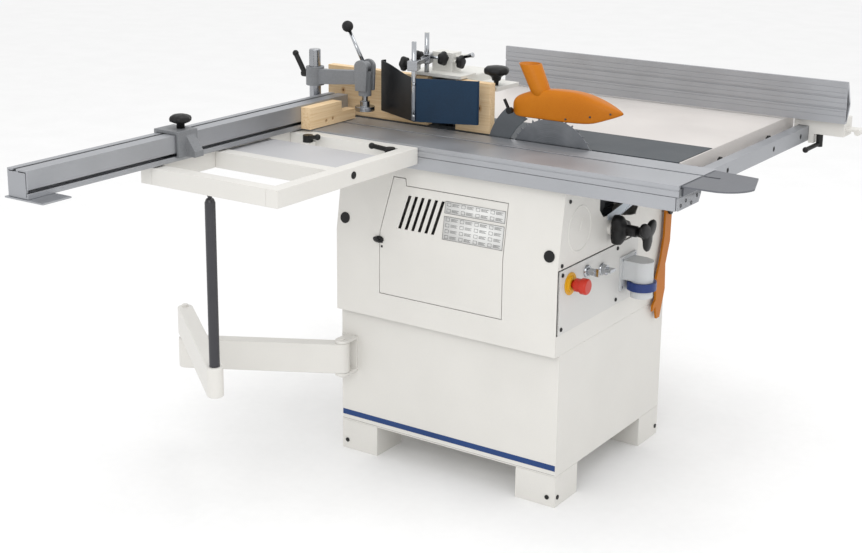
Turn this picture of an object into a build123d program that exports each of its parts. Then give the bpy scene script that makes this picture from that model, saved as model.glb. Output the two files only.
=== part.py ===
"""Panel saw with spindle moulder, sliding table, outrigger frame, rip fence and shaper guard.

Frame: +Z up, millimetres.  The origin is on the floor, at the centre of the base's footprint.
+X points to the operator's end, where the controls are.  -Y is the sliding-table side and
+Y is the rip-fence side.
"""
import math
import os

from build123d import *

os.makedirs("parts", exist_ok=True)

# ---------------------------------------------------------------- driving dimensions
table_top = 870.0            # height of every table surface above the floor
sheet = 3.0                  # cabinet sheet
seam = 0.3                   # gap between neighbouring pieces that don't touch

base_length = 656.0          # along X
base_depth = 576.0           # along Y
base_top = 400.0             # where the upper cabinet starts
foot_side = 114.0
foot_height = 82.0
foot_wall = 4.0
foot_plate = 8.0
foot_hole_r = 6.5            # floor bolt hole

front_proud = 22.0           # upper cabinet stands this far in front of the base
fold_height = 617.0          # the front face leans back above this fold
cabinet_top = 806.0
front_lean = 29.0            # how far the front face leans back at cabinet_top

cast_half_length = 525.0
cast_front = -96.0
cast_back = 101.0
cast_plate = 12.0
cast_rib = 10.0
extension_back = 640.0
extension_skirt = 56.0
extension_sheet = 3.0

slide_length = 1200.0
slide_right = 627.0          # +X end of the sliding table
slide_front = -311.0
slide_edge = -106.0          # edge beside the blade
carriage_depth = 27.0        # outer rail of the carriage, top to underside
beam_height = 31.0
running_gap = 1.0            # between carriage and beam

blade_plane = -100.0
blade_radius = 125.0
blade_kerf = 3.2
blade_plate = 2.2
blade_teeth = 40
arbor_x = 185.0
arbor_z = 813.0
arbor_r = 15.0
blade_bore_play = 0.05
knife_plate = 2.5
knife_gap = 8.0              # between the teeth and the riving knife
knife_width = 58.0

spindle_x = -150.0
spindle_y = -10.0
spindle_r = 15.0
quill_r = 40.0

hood_left = -250.0
hood_right = -90.0
hood_front = -62.0
hood_back = 80.0
hood_top = 1009.0
hood_wall = 8.0
boss_left = -208.0
boss_right = -146.0
boss_front = -50.0
boss_top = 1060.0

board_front = -90.0
board_thick = 25.0
board_height = 130.0

rail_x = 560.0               # inner face of the fence guide rail
rail_front = -100.0
rail_back = 690.0
rail_width = 30.0
rail_height = 40.0
rail_bottom = 812.0

fence_face = 562.0           # front face of the rip fence
fence_left = -352.0
fence_right = 700.0
fence_height = 113.0
fence_thick = 34.0

frame_left = slide_right - slide_length + 91.0    # outrigger frame
frame_right = frame_left + 409.0
frame_front = -853.0
frame_back = -311.6
frame_top = 866.0
tube_width = 33.0
tube_height = 42.0

squaring_left = slide_right - slide_length + 82.0    # squaring fence
squaring_right = squaring_left + 61.0
squaring_front = -1235.0
squaring_back = -124.0
squaring_bottom = 870.3
squaring_height = 62.0

arm_pivot = (34.0 - base_length / 2, -46.0 - base_depth / 2)
arm_elbow = (-656.0, -537.0)
pole_foot = (frame_left + 187.0, -825.0)
lower_link_z = 247.0
upper_link_z = 328.0
link_height = 75.0
link_width = 40.0
pole_r = 12.5
pole_top = 820.0
pin_r = 8.0
pin_play = 0.05
rod_play = 0.05
crank_r = 6.0
crank_y = -45.0
crank_z = 666.0

half_l = base_length / 2
half_d = base_depth / 2
front_face = -half_d - front_proud
front_top_y = front_face + front_lean
slide_left = slide_right - slide_length


# ---------------------------------------------------------------- shared shapes
def block(x0, x1, y0, y1, z0, z1, mode=Mode.ADD):
    """A box between two corners, added to the part that is being built."""
    with Locations(((x0 + x1) / 2, (y0 + y1) / 2, (z0 + z1) / 2)):
        return Box(abs(x1 - x0), abs(y1 - y0), abs(z1 - z0), mode=mode)


def rod(start, end, radius, mode=Mode.ADD):
    """A round bar from one point to another, added to the part that is being built."""
    axis = Vector(*end) - Vector(*start)
    place = Plane(origin=start, z_dir=axis.normalized())
    with Locations(place.location):
        return Cylinder(radius, axis.length, mode=mode,
                        align=(Align.CENTER, Align.CENTER, Align.MIN))


def outline(plane, points):
    """A closed flat face from its corner points, in the plane's own coordinates."""
    with BuildSketch(plane) as sketch:
        with BuildLine():
            Polyline(*points, close=True)
        make_face()
    return sketch.sketch


def side_plane(y):
    """A plane facing -Y at the given y: its x is the row's X and its y is the row's Z."""
    return Plane(origin=(0, y, 0), x_dir=(1, 0, 0), z_dir=(0, -1, 0))


def end_plane(x):
    """A plane facing +X at the given x: its x is the row's Y and its y is the row's Z."""
    return Plane(origin=(x, 0, 0), x_dir=(0, 1, 0), z_dir=(1, 0, 0))


def lobed_knob(plane, lobes, radius, thick, neck, waist=0.5, bore=0.0):
    """A hand knob with rounded lobes, standing on the given plane on a round neck."""
    steps = lobes * 6
    swing = radius * (1 - waist) / 2
    rim = [
        Vector((radius - swing + swing * math.cos(lobes * turn)) * math.cos(turn),
               (radius - swing + swing * math.cos(lobes * turn)) * math.sin(turn))
        for turn in (2 * math.pi * step / steps for step in range(steps))
    ]
    with BuildPart() as knob:
        with BuildSketch(plane.offset(neck)):
            with BuildLine():
                Spline(*rim, periodic=True)
            make_face()
        extrude(amount=thick, dir=plane.z_dir)
        fillet(knob.edges().filter_by(GeomType.BSPLINE), thick * 0.22)
        with BuildSketch(plane):
            Circle(radius * 0.28)
        extrude(amount=neck + thick * 0.3)
        if bore:
            with BuildSketch(plane):
                Circle(bore)
            extrude(amount=neck + thick * 0.6, mode=Mode.SUBTRACT)
    return knob.part


def write(part, name):
    """Label a finished piece and write it to its own STEP file."""
    part.label = name
    export_step(part, f"parts/{name}.step")


# ---------------------------------------------------------------- base cabinet
# Four folded sheets and a floor, with four box feet under the corners.
foot_x = half_l - foot_side / 2
foot_y = half_d - foot_side / 2
foot_inner = foot_side - 2 * foot_wall
with BuildPart() as base_cabinet:
    block(-half_l, half_l, -half_d, -half_d + sheet, foot_height, base_top)
    block(-half_l, half_l, half_d - sheet, half_d, foot_height, base_top)
    for side in (-1, 1):
        block(side * half_l, side * (half_l - sheet), -half_d + sheet + seam, half_d - sheet - seam,
              foot_height, base_top)
    block(-half_l + sheet + seam, half_l - sheet - seam, -half_d + sheet + seam,
          half_d - sheet - seam, foot_height, foot_height + sheet)

    with Locations(*[(x, y, 0) for x in (-foot_x, foot_x) for y in (-foot_y, foot_y)]):
        Box(foot_side, foot_side, foot_height - seam, align=(Align.CENTER, Align.CENTER, Align.MIN))
        with Locations((0, 0, foot_plate)):
            Box(foot_inner, foot_inner, foot_height - foot_plate - seam, mode=Mode.SUBTRACT,
                align=(Align.CENTER, Align.CENTER, Align.MIN))
        Cylinder(foot_hole_r, foot_height, mode=Mode.SUBTRACT)
write(base_cabinet.part, "base_cabinet")

# ---------------------------------------------------------------- upper cabinet
# The front sheet leans back above its fold, and has the opening for the access door.
front_profile = [
    (front_face, base_top), (front_face, fold_height), (front_top_y, cabinet_top),
    (front_top_y + sheet, cabinet_top), (front_face + sheet, fold_height), (front_face + sheet, base_top),
]
door_left = -190.0
door_right = 175.0
door_bottom = 469.0
door_top = 756.0
door_ear_top = 774.0
door_gap = 1.5
door_corner = 8.0


def door_outline(grow):
    """The access door's outline: its left side slants in above the latch, up to an ear."""
    left, right = door_left - grow, door_right + grow
    bottom, top = door_bottom - grow, door_top + grow
    return outline(side_plane(front_face - 40), [
        (left, bottom), (right, bottom), (right, top), (door_left + 66 + grow, top),
        (door_left + 62 + grow, door_ear_top + grow), (door_left + 27 - grow, door_ear_top + grow),
        (left, fold_height + 16),
    ])


with BuildPart() as cabinet_front:
    extrude(outline(end_plane(-half_l), front_profile), amount=base_length)
    extrude(door_outline(door_gap), amount=-120, mode=Mode.SUBTRACT)
write(cabinet_front.part, "cabinet_front")

with BuildPart() as access_door:
    extrude(outline(end_plane(-half_l), front_profile), amount=base_length)
    extrude(door_outline(0.0), amount=-120, mode=Mode.INTERSECT)
    # six slanted louvre slots, cut through the leaning part of the door
    for slot in range(6):
        slot_x = door_left + 76 + 20 * slot
        extrude(outline(side_plane(front_face - 40), [
            (slot_x, 734), (slot_x + 9, 734), (slot_x - 14, 648), (slot_x - 23, 648)]),
            amount=-120, mode=Mode.SUBTRACT)
write(access_door.part, "access_door")

# Side and back sheets.  The right side is open behind the control panel and the tilt cover.
panel_back = 116.0
panel_bottom = 453.0
with BuildPart() as cabinet_shell:
    side_profile = [
        (front_face + sheet + seam, base_top), (half_d - sheet - seam, base_top),
        (half_d - sheet - seam, cabinet_top), (front_top_y + sheet + seam, cabinet_top),
        (front_face + sheet + seam, fold_height),
    ]
    extrude(outline(end_plane(-half_l), side_profile), amount=sheet)
    block(-half_l, half_l, half_d - sheet, half_d, base_top, cabinet_top)
    block(half_l - sheet, half_l, front_face + sheet + seam, half_d - sheet - seam, base_top,
          panel_bottom)
    block(half_l - sheet, half_l, panel_back + seam, half_d - sheet - seam,
          panel_bottom + seam, cabinet_top)
write(cabinet_shell.part, "cabinet_shell")

# Tilt cover: a plain sheet above the control panel, with the window that shows the tilt scale.
with BuildPart() as tilt_cover:
    extrude(outline(end_plane(half_l - sheet), [
        (front_face + sheet + seam, fold_height + seam), (panel_back, fold_height + seam),
        (panel_back, cabinet_top), (front_top_y + sheet + seam, cabinet_top)]), amount=sheet)
    with BuildSketch(end_plane(half_l)):
        with BuildLine():
            Polyline((-105, cabinet_top + 1), (-105, 724), (-84, 702), (-50, 700), (70, 675),
                     (95, 672), (108, 690), (108, cabinet_top + 1), close=True)
        make_face()
    extrude(amount=-10, mode=Mode.SUBTRACT)
    rod((half_l - 16, crank_y, crank_z), (half_l + 8, crank_y, crank_z), 17)
    rod((half_l - 30, crank_y, crank_z), (half_l + 20, crank_y, crank_z), crank_r + rod_play,
        mode=Mode.SUBTRACT)
    # pressed-in stiffening ring, raised a little from the sheet
    with BuildSketch(end_plane(half_l)):
        with Locations((-205, 700)):
            Circle(58)
            Circle(54, mode=Mode.SUBTRACT)
        with Locations((-192, 704)):
            RegularPolygon(20, 3, rotation=90)
    extrude(amount=1.2)
write(tilt_cover.part, "tilt_cover")

# Control panel: a flat plate screwed over the opening in the right side, with two bezels.
panel_front = -299.0
panel_top = fold_height - 3
estop_place = (-248.0, 573.0)
key_place = (-165.0, 584.0)
rotary_place = (-86.0, 570.0)
switch_r = 9.0
with BuildPart() as control_panel:
    block(half_l - sheet, half_l + 1, panel_front, panel_back - seam, panel_bottom + seam, panel_top)
    for y, z in (key_place, rotary_place):
        rod((half_l + 1, y, z), (half_l + 6, y, z), 15)
        rod((half_l - 10, y, z), (half_l + 10, y, z), switch_r, mode=Mode.SUBTRACT)
    rod((half_l - 10, *estop_place), (half_l + 10, *estop_place), switch_r + 2, mode=Mode.SUBTRACT)
write(control_panel.part, "control_panel")

# Black fittings: plugs in the round holes, panel screws, and the hook of the push stick.
hook_y = 268.0
hook_z = 648.0
panel_screw_places = [
    (half_l + 1, panel_front + 12, panel_top - 11), (half_l + 1, panel_back - 118, panel_top - 11),
    (half_l + 1, panel_front + 12, panel_bottom + 14), (half_l + 1, panel_back - 118, panel_bottom + 14),
    (half_l + 1, panel_back - 12, panel_bottom + 14), (half_l, front_face + 20, fold_height + 10),
    (half_l, front_top_y + 22, cabinet_top - 28), (half_l, panel_back - 12, fold_height + 10),
]
with BuildPart() as black_fittings:
    plug_lean = front_lean * (650 - fold_height) / (cabinet_top - fold_height)
    lean_angle = math.degrees(math.atan2(front_lean, cabinet_top - fold_height))
    for x in (-half_l + 25, half_l - 26):
        with Locations((x, front_face + plug_lean - 1.15, 650)):
            Cylinder(14.5, 2, rotation=(90 - lean_angle, 0, 0))
    for x in (-half_l + 17, half_l - 22):
        for y in (-half_d - 1, half_d + 1):
            with Locations((x, y, 24)):
                Cylinder(6, 2, rotation=(90, 0, 0))
    for y in (-half_d + 13, half_d - 13):
        with Locations((half_l + 1, y, 25)):
            Cylinder(6, 2, rotation=(0, 90, 0))
    for place in panel_screw_places:
        with Locations(Plane(origin=place, z_dir=(1, 0, 0)).location):
            Cylinder(5, 2.5, align=(Align.CENTER, Align.CENTER, Align.MIN))
            with Locations((0, 0, 1.5)):
                Cylinder(2.2, 3, align=(Align.CENTER, Align.CENTER, Align.MIN), mode=Mode.SUBTRACT)
    rod((half_l, hook_y, hook_z), (half_l + 22, hook_y, hook_z), 6)
    rod((half_l + 16, hook_y, hook_z), (half_l + 22, hook_y, hook_z), 11)
write(black_fittings.part, "black_fittings")

# ---------------------------------------------------------------- controls
face_x = half_l + 1                       # outer face of the control panel
with BuildPart(end_plane(face_x)) as estop_collar:
    with Locations((estop_place[0], estop_place[1], 0)):
        Cylinder(28, 3, align=(Align.CENTER, Align.CENTER, Align.MIN))
        with Locations((0, 0, 3)):
            Cylinder(20, 6, align=(Align.CENTER, Align.CENTER, Align.MIN))
        Cylinder(10.5, 30, mode=Mode.SUBTRACT)
write(estop_collar.part, "estop_collar")

estop_travel = 6.0
with BuildPart() as estop_button:
    with BuildSketch(Plane(origin=(face_x - 16, *estop_place), x_dir=(0, 1, 0), z_dir=(1, 0, 0))):
        Circle(9)
    extrude(amount=32 + estop_travel)
    with BuildSketch(Plane(origin=(face_x + 9 + estop_travel + 1, *estop_place), x_dir=(0, 1, 0),
                           z_dir=(1, 0, 0))):
        Circle(16.5)
    extrude(amount=18)
    with BuildSketch(Plane(origin=(face_x + 33, *estop_place), x_dir=(0, 1, 0), z_dir=(1, 0, 0))):
        Circle(20)
    extrude(amount=17)
    fillet(estop_button.faces().sort_by(Axis.X)[-1].edges(), 5)
write(estop_button.part, "estop_button")

with BuildPart() as key_switch:
    with BuildSketch(Plane(origin=(face_x - 20, *key_place), x_dir=(0, 1, 0), z_dir=(1, 0, 0))):
        Circle(8.9)
    extrude(amount=44)
    block(face_x + 24, face_x + 34, key_place[0] - 2, key_place[0] + 2, key_place[1] - 10,
          key_place[1] + 10)
write(key_switch.part, "key_switch")

with BuildPart() as rotary_switch:
    with BuildSketch(Plane(origin=(face_x - 20, *rotary_place), x_dir=(0, 1, 0), z_dir=(1, 0, 0))):
        Circle(8.9)
    extrude(amount=32)
    with BuildSketch(Plane(origin=(face_x + 6, *rotary_place), x_dir=(0, 1, 0), z_dir=(1, 0, 0))):
        Circle(13)
    extrude(amount=10)
    with BuildSketch(Plane(origin=(face_x + 16, *rotary_place), x_dir=(0, 1, 0), z_dir=(1, 0, 0))):
        SlotOverall(30, 8)
    extrude(amount=16)
write(rotary_switch.part, "rotary_switch")

# Mains inlet: a flanged elbow whose socket points at the floor, with a locking ring.
inlet_y = 52.0
inlet_x = face_x + 46
with BuildPart() as power_inlet:
    block(face_x, face_x + 6, inlet_y - 40, inlet_y + 46, 486, 576)
    block(face_x + 6, inlet_x, inlet_y - 28, inlet_y + 34, 515, 566)
    rod((inlet_x, inlet_y, 470), (inlet_x, inlet_y, 566), 29)
    rod((inlet_x, inlet_y, 460), (inlet_x, inlet_y, 500), 22, mode=Mode.SUBTRACT)
write(power_inlet.part, "power_inlet")

with BuildPart() as inlet_ring:
    rod((inlet_x, inlet_y, 490), (inlet_x, inlet_y, 512), 38)
    rod((inlet_x, inlet_y, 480), (inlet_x, inlet_y, 520), 29.3, mode=Mode.SUBTRACT)
write(inlet_ring.part, "inlet_ring")

# Rise crank and tilt lock: two lobed hand knobs, one behind the other, on the same axis.
crank_plane = Plane(origin=(half_l + 9, crank_y, crank_z), x_dir=(0, 1, 0), z_dir=(1, 0, 0))
crank_body = lobed_knob(crank_plane, 3, 42, 30, 8)
with BuildPart() as rise_crank:
    add(crank_body)
    rod((half_l - 18, crank_y, crank_z), (half_l + 60, crank_y, crank_z), crank_r)
    rod((half_l + 40, crank_y, crank_z), (half_l + 72, crank_y, crank_z), 14)
write(rise_crank.part, "rise_crank")

lock_turn = math.radians(30)
lock_plane = Plane(origin=(half_l + 72 + seam, crank_y, crank_z), z_dir=(1, 0, 0),
                   x_dir=(0, math.cos(lock_turn), math.sin(lock_turn)))
write(lobed_knob(lock_plane, 3, 46, 16, 20), "tilt_lock_knob")

# Push stick, hanging on its hook at the back corner of the right side.
with BuildPart() as push_stick:
    with BuildSketch(end_plane(half_l + 8)):
        with BuildLine():
            Polyline((250, 664), (288, 664), (284, 560), (262, 500), (266, 430), (240, 356),
                     (222, 356), (212, 392), (196, 382), (196, 398), (212, 412), (210, 470),
                     (232, 520), (248, 580), close=True)
        make_face()
    extrude(amount=6)
    rod((half_l, hook_y, hook_z), (half_l + 30, hook_y, hook_z), 7, mode=Mode.SUBTRACT)
write(push_stick.part, "push_stick")

# ---------------------------------------------------------------- fixed tables
# Cast-iron table: plates on ribs round a square bay, which takes the spindle's ring.
saw_bay_left = -20.0
saw_bay_right = 385.0
spindle_hole_r = 55.0
ring_half = 62.0
cast_bottom = table_top - 62
rib_top = table_top - cast_plate
bay_left = spindle_x - ring_half
bay_right = spindle_x + ring_half
bay_front = spindle_y - ring_half
bay_back = spindle_y + ring_half
with BuildPart() as cast_table:
    block(-cast_half_length, bay_left, cast_front, cast_back - seam, rib_top, table_top)
    block(bay_right, cast_half_length, cast_front, cast_back - seam, rib_top, table_top)
    block(bay_left + seam, bay_right - seam, cast_front, bay_front, rib_top, table_top)
    block(bay_left + seam, bay_right - seam, bay_back, cast_back - seam, rib_top, table_top)
    for side in (-1, 1):
        block(side * cast_half_length, side * (cast_half_length - cast_rib), cast_front,
              cast_back - seam, cast_bottom, rib_top - seam)
    inner_rib = cast_half_length - cast_rib - seam
    block(-inner_rib, inner_rib, cast_back - cast_rib, cast_back - seam, cast_bottom, rib_top - seam)
    block(-inner_rib, saw_bay_left, cast_front, cast_front + cast_rib, cast_bottom, rib_top - seam)
    block(saw_bay_right, inner_rib, cast_front, cast_front + cast_rib, cast_bottom, rib_top - seam)
write(cast_table.part, "cast_table")

with BuildPart() as spindle_ring:
    block(bay_left + seam, bay_right - seam, bay_front + seam, bay_back - seam, rib_top, table_top)
    rod((spindle_x, spindle_y, cast_bottom), (spindle_x, spindle_y, rib_top + 1), quill_r + 16)
    rod((spindle_x, spindle_y, cast_bottom - 1), (spindle_x, spindle_y, rib_top), quill_r + rod_play,
        mode=Mode.SUBTRACT)
    rod((spindle_x, spindle_y, rib_top - 0.5), (spindle_x, spindle_y, table_top + 5), spindle_hole_r,
        mode=Mode.SUBTRACT)
write(spindle_ring.part, "spindle_ring")

# Extension table: folded sheet with a skirt, which also covers both ends of the cast table.
skirt_out = cast_half_length + 6
with BuildPart() as extension_table:
    block(-skirt_out + extension_sheet + seam, skirt_out - extension_sheet - seam, cast_back,
          extension_back - extension_sheet - seam, table_top - extension_sheet, table_top)
    for side in (-1, 1):
        block(side * skirt_out, side * (skirt_out - extension_sheet), cast_front,
              extension_back - extension_sheet - seam, table_top - extension_skirt, table_top)
    block(-skirt_out, skirt_out, extension_back - extension_sheet, extension_back,
          table_top - extension_skirt, table_top)
    for y in (half_d - 6, 470):
        block(-skirt_out + 4, skirt_out - 4, y, y + 4, table_top - 46, table_top - extension_sheet - seam)
write(extension_table.part, "extension_table")

# Guide rail of the rip fence, an aluminium bar beside the skirt, with its brackets.
rail_top = rail_bottom + rail_height
rail_hole_r = 7.0
with BuildPart() as fence_rail:
    block(rail_x, rail_x + rail_width, rail_front, rail_back, rail_bottom, rail_top)
    block(rail_x + 5, rail_x + rail_width - 8, rail_front - 1, rail_back + 1, rail_bottom + 6,
          rail_top - 6, mode=Mode.SUBTRACT)
    for y in (rail_front + 50, rail_front + 150, rail_front + 448, rail_front + 640):
        rod((rail_x + rail_width - 12, y, rail_bottom + 20), (rail_x + rail_width + 5, y, rail_bottom + 20),
            rail_hole_r, mode=Mode.SUBTRACT)
    for y in (rail_front + 30, rail_front + 160, rail_front + 480, rail_back - 90):
        block(skirt_out + seam, rail_x - seam, y, y + 34, rail_bottom + 2, rail_top - 16)
write(fence_rail.part, "fence_rail")

# ---------------------------------------------------------------- sliding table
carriage_under = table_top - carriage_depth
beam_top = carriage_under - running_gap
beam_bottom = beam_top - beam_height - 1
beam_back = -186.0
end_cap_thick = 6.0
beam_right = slide_right - end_cap_thick - 0.4
with BuildPart() as slide_beam:
    with BuildSketch(end_plane(slide_left + end_cap_thick)):
        with BuildLine():
            Polyline((slide_front, beam_bottom), (slide_front + 14, beam_bottom),
                     (beam_back - 12, beam_bottom), (beam_back, beam_top - 12),
                     (beam_back, beam_top), (slide_front, beam_top), close=True)
        make_face()
        with BuildLine():
            Polyline((slide_front + 4, beam_bottom + 4), (beam_back - 16, beam_bottom + 4),
                     (beam_back - 5, beam_top - 12), (beam_back - 5, beam_top - 4),
                     (slide_front + 4, beam_top - 4), close=True)
        make_face(mode=Mode.SUBTRACT)
        for y in (-272, -232):
            with Locations((y, (beam_bottom + beam_top) / 2)):
                Rectangle(4, beam_height, mode=Mode.ADD)
    extrude(amount=slide_length - 2 * end_cap_thick - 0.8)
    for x in (slide_left + seam, slide_right - end_cap_thick):
        extrude(outline(end_plane(x), [
            (slide_front + 2, beam_bottom + 1), (beam_back - 13, beam_bottom + 1),
            (beam_back - 1, beam_top - 12), (beam_back - 1, beam_top - 0.5),
            (slide_front + 2, beam_top - 0.5)]), amount=end_cap_thick - seam)
    for x in (-200, 200):
        block(x - 45, x + 45, front_top_y + sheet + 8, -212, cabinet_top - 20, beam_bottom - seam)
write(slide_beam.part, "slide_beam")

# Carriage: bars side by side under one flat top, with a slot for T-bolts between the first
# two.  The lip thins towards the blade, so the tilted blade clears it.
groove_width = 9.0
groove_y = -184.0
groove_floor = table_top - 14
groove_front = groove_y - groove_width / 2
groove_back = groove_y + groove_width / 2
lip_root = (-152.0, 853.0)
ledge = 2.4                  # line along the outer rail, below its top
chamber_width = 26.0
chamber_height = 16.0
with BuildPart() as sliding_table:
    with BuildSketch(end_plane(slide_left)):
        with BuildLine():
            Polyline((slide_front, table_top), (slide_front, carriage_under), (groove_front, carriage_under),
                     (groove_front, table_top), close=True)
        make_face()
        with Locations((slide_front, 858)):
            Rectangle(3, ledge, mode=Mode.SUBTRACT)
        for y in (-290, -250, -214):
            with Locations((y, table_top - 14)):
                Rectangle(chamber_width, chamber_height, mode=Mode.SUBTRACT)
    extrude(amount=slide_length)
    block(slide_left, slide_right, groove_front + seam, groove_back - seam, carriage_under, groove_floor)
    extrude(outline(end_plane(slide_left), [
        (groove_back, table_top), (groove_back, carriage_under), (groove_back + 11.5, carriage_under),
        (lip_root[0] - seam, lip_root[1]), (lip_root[0] - seam, table_top)]), amount=slide_length)
    extrude(outline(end_plane(slide_left), [
        lip_root, (slide_edge, table_top - 2.5), (slide_edge, table_top), (lip_root[0], table_top)]),
        amount=slide_length)
write(sliding_table.part, "sliding_table")

with BuildPart() as end_plate:
    with BuildSketch(Plane.XY.offset(table_top - 6)):
        with BuildLine():
            front = Line((slide_right + 0.5, -300), (slide_right + 80, -298))
            nose = Line((slide_right + 144, -230), (slide_right + 112, -128))
            ThreePointArc(front @ 1, (slide_right + 124, -274), nose @ 0)
            Line(nose @ 1, (slide_right + 0.5, -112))
            Line((slide_right + 0.5, -112), (slide_right + 0.5, -300))
        make_face()
        with Locations((slide_right + 22, groove_y)):
            SlotOverall(44, groove_width, mode=Mode.SUBTRACT)
    extrude(amount=4)
    block(slide_right + 0.5, slide_right + 5, -296, -206, carriage_under + 1, table_top - 6)
write(end_plate.part, "end_plate")

# ---------------------------------------------------------------- outrigger frame
tube_bottom = frame_top - tube_height
shelf_front = -601.0
cross_front = -634.0
rear_front = -346.0
lever_pivot_x = (frame_left + 104.0, frame_right - 49.0)
lever_pivot_y = -362.0
shelf_back = -430.0
with BuildPart() as outrigger_frame:
    for x in (frame_left, frame_right - tube_width):
        block(x, x + tube_width, frame_front, frame_back, tube_bottom, frame_top)
    inner_left = frame_left + tube_width + 0.2
    inner_right = frame_right - tube_width - 0.2
    block(inner_left, inner_right, frame_front, frame_front + tube_width, tube_bottom, frame_top)
    block(inner_left, inner_right, cross_front, shelf_front, tube_bottom, frame_top)
    block(inner_left, inner_right, rear_front, frame_back, tube_bottom, frame_top)
    for lug_x in lever_pivot_x:
        block(lug_x - 13, lug_x + 13, lever_pivot_y - 13, rear_front - seam, tube_bottom + 4,
              frame_top - 16)
write(outrigger_frame.part, "outrigger_frame")

with BuildPart() as frame_shelf:
    block(inner_left, inner_right, shelf_front + seam, shelf_back, frame_top - 12, frame_top - 4)
write(frame_shelf.part, "frame_shelf")


def clamp_lever(pivot, reach, turn):
    """A black clamping lever on a round boss, in the bay behind the frame's shelf."""
    x, y, z = pivot
    with BuildPart() as lever:
        with Locations(Location((x, y, z), (0, 0, turn))):
            Cylinder(13, 18, align=(Align.CENTER, Align.CENTER, Align.MIN))
            with Locations(Location((0, 0, 12), (0, -10, 0))):
                Box(reach, 12, 9, align=(Align.MIN, Align.CENTER, Align.CENTER))
        with Locations(Location((x, y, z), (0, 0, turn))):
            with Locations((reach, 0, 12 + reach * 0.17)):
                Sphere(8)
    return lever.part


lever_names = ("frame_lever_left", "frame_lever_right")
for lever_name, lever_x, lever_turn in zip(lever_names, lever_pivot_x, (340.0, 200.0)):
    write(clamp_lever((lever_x, lever_pivot_y, frame_top - 16 + seam), 46, lever_turn), lever_name)

# ---------------------------------------------------------------- swinging support arm
lug_gap = 0.5
bracket_top = 327.0
bracket_bottom = 229.0
with BuildPart() as arm_bracket:
    block(-half_l + 3, -half_l + 52, -half_d - 5, -half_d, bracket_bottom, bracket_top)
    for z in (bracket_bottom, bracket_top - 8):
        with BuildSketch(Plane.XY.offset(z)):
            with Locations((arm_pivot[0], (arm_pivot[1] - half_d - 5) / 2)):
                Rectangle(36, abs(arm_pivot[1]) - half_d - 5)
            with Locations(arm_pivot):
                Circle(18)
        extrude(amount=8)
    rod((*arm_pivot, bracket_bottom - 6), (*arm_pivot, bracket_top + 4), pin_r)
write(arm_bracket.part, "arm_bracket")


def arm_link(start, end, z0, z1, bore_start, bore_end):
    """A box-section link with rounded ends, bored for the pins at either end."""
    run = Vector(*end) - Vector(*start)
    place = Plane(origin=(*start, z0), x_dir=(run.X, run.Y, 0), z_dir=(0, 0, 1))
    with BuildPart() as link:
        with BuildSketch(place):
            with Locations((run.length / 2, 0)):
                SlotCenterToCenter(run.length, link_width)
        extrude(amount=z1 - z0)
        fillet(link.edges().filter_by(GeomType.LINE).filter_by(Plane.XY), 4)
        for centre, bore in ((start, bore_start), (end, bore_end)):
            if bore:
                rod((*centre, z0 - 5), (*centre, z1 + 5), bore, mode=Mode.SUBTRACT)
    return link.part


lower_link = arm_link(arm_pivot, arm_elbow, bracket_bottom + 8 + lug_gap, bracket_top - 8 - lug_gap,
                      pin_r + pin_play, 0)
elbow_top = upper_link_z + link_height + 6
with BuildPart() as swing_arm:
    add(lower_link)
    rod((*arm_elbow, bracket_top - 20), (*arm_elbow, elbow_top), pin_r)
write(swing_arm.part, "swing_arm")

write(arm_link(arm_elbow, pole_foot, upper_link_z, upper_link_z + link_height,
               pin_r + pin_play, 0), "support_arm")

with BuildPart() as support_pole:
    with BuildSketch(Plane.XZ.offset(-pole_foot[1])):
        with BuildLine():
            x, foot = pole_foot[0], upper_link_z + link_height
            Polyline((x, foot), (x + pole_r, foot), (x + pole_r, pole_top - 20),
                     (x + pole_r * 0.75, pole_top - 12), (x + pole_r * 0.35, pole_top - 8),
                     (x + pole_r * 0.65, pole_top - 1), (x, pole_top - 1), close=True)
        make_face()
    revolve(axis=Axis((*pole_foot, 0), (0, 0, 1)))
write(support_pole.part, "support_pole")

# ---------------------------------------------------------------- squaring fence on the frame
squaring_top = squaring_bottom + squaring_height
with BuildPart() as squaring_fence:
    with BuildSketch(Plane.XZ.offset(-squaring_back)):
        with Locations(((squaring_left + squaring_right) / 2, (squaring_bottom + squaring_top) / 2)):
            Rectangle(squaring_right - squaring_left, squaring_height)
            Rectangle(squaring_right - squaring_left - 8, squaring_height - 8, mode=Mode.SUBTRACT)
            Rectangle(4, squaring_height)
        with Locations((squaring_left + 22, squaring_top)):
            Rectangle(10, 10, mode=Mode.SUBTRACT)
        with Locations((squaring_right, squaring_bottom + 16)):
            Rectangle(10, 8, mode=Mode.SUBTRACT)
    extrude(amount=squaring_back - squaring_front)
    for y in (squaring_front, squaring_back - 6):
        block(squaring_left + 2, squaring_right - 6, y, y + 6, squaring_bottom + 2, squaring_top - 6)
    block(squaring_left - 8, squaring_right + 48, squaring_front - 4, squaring_front + 76,
          squaring_bottom - 4, squaring_bottom - seam)
write(squaring_fence.part, "squaring_fence")

with BuildPart() as fence_wood_block:
    extrude(outline(end_plane(squaring_right + seam), [
        (-324, 872), (-191, 872), (-131, 872), (-131, 899), (-191, 899), (-191, 928), (-324, 928)]),
        amount=30)
    for y, z in ((-257, 885), (-229, 887)):
        rod((squaring_right, y, z), (squaring_right + 40, y, z), 5, mode=Mode.SUBTRACT)
write(fence_wood_block.part, "fence_wood_block")

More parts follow.
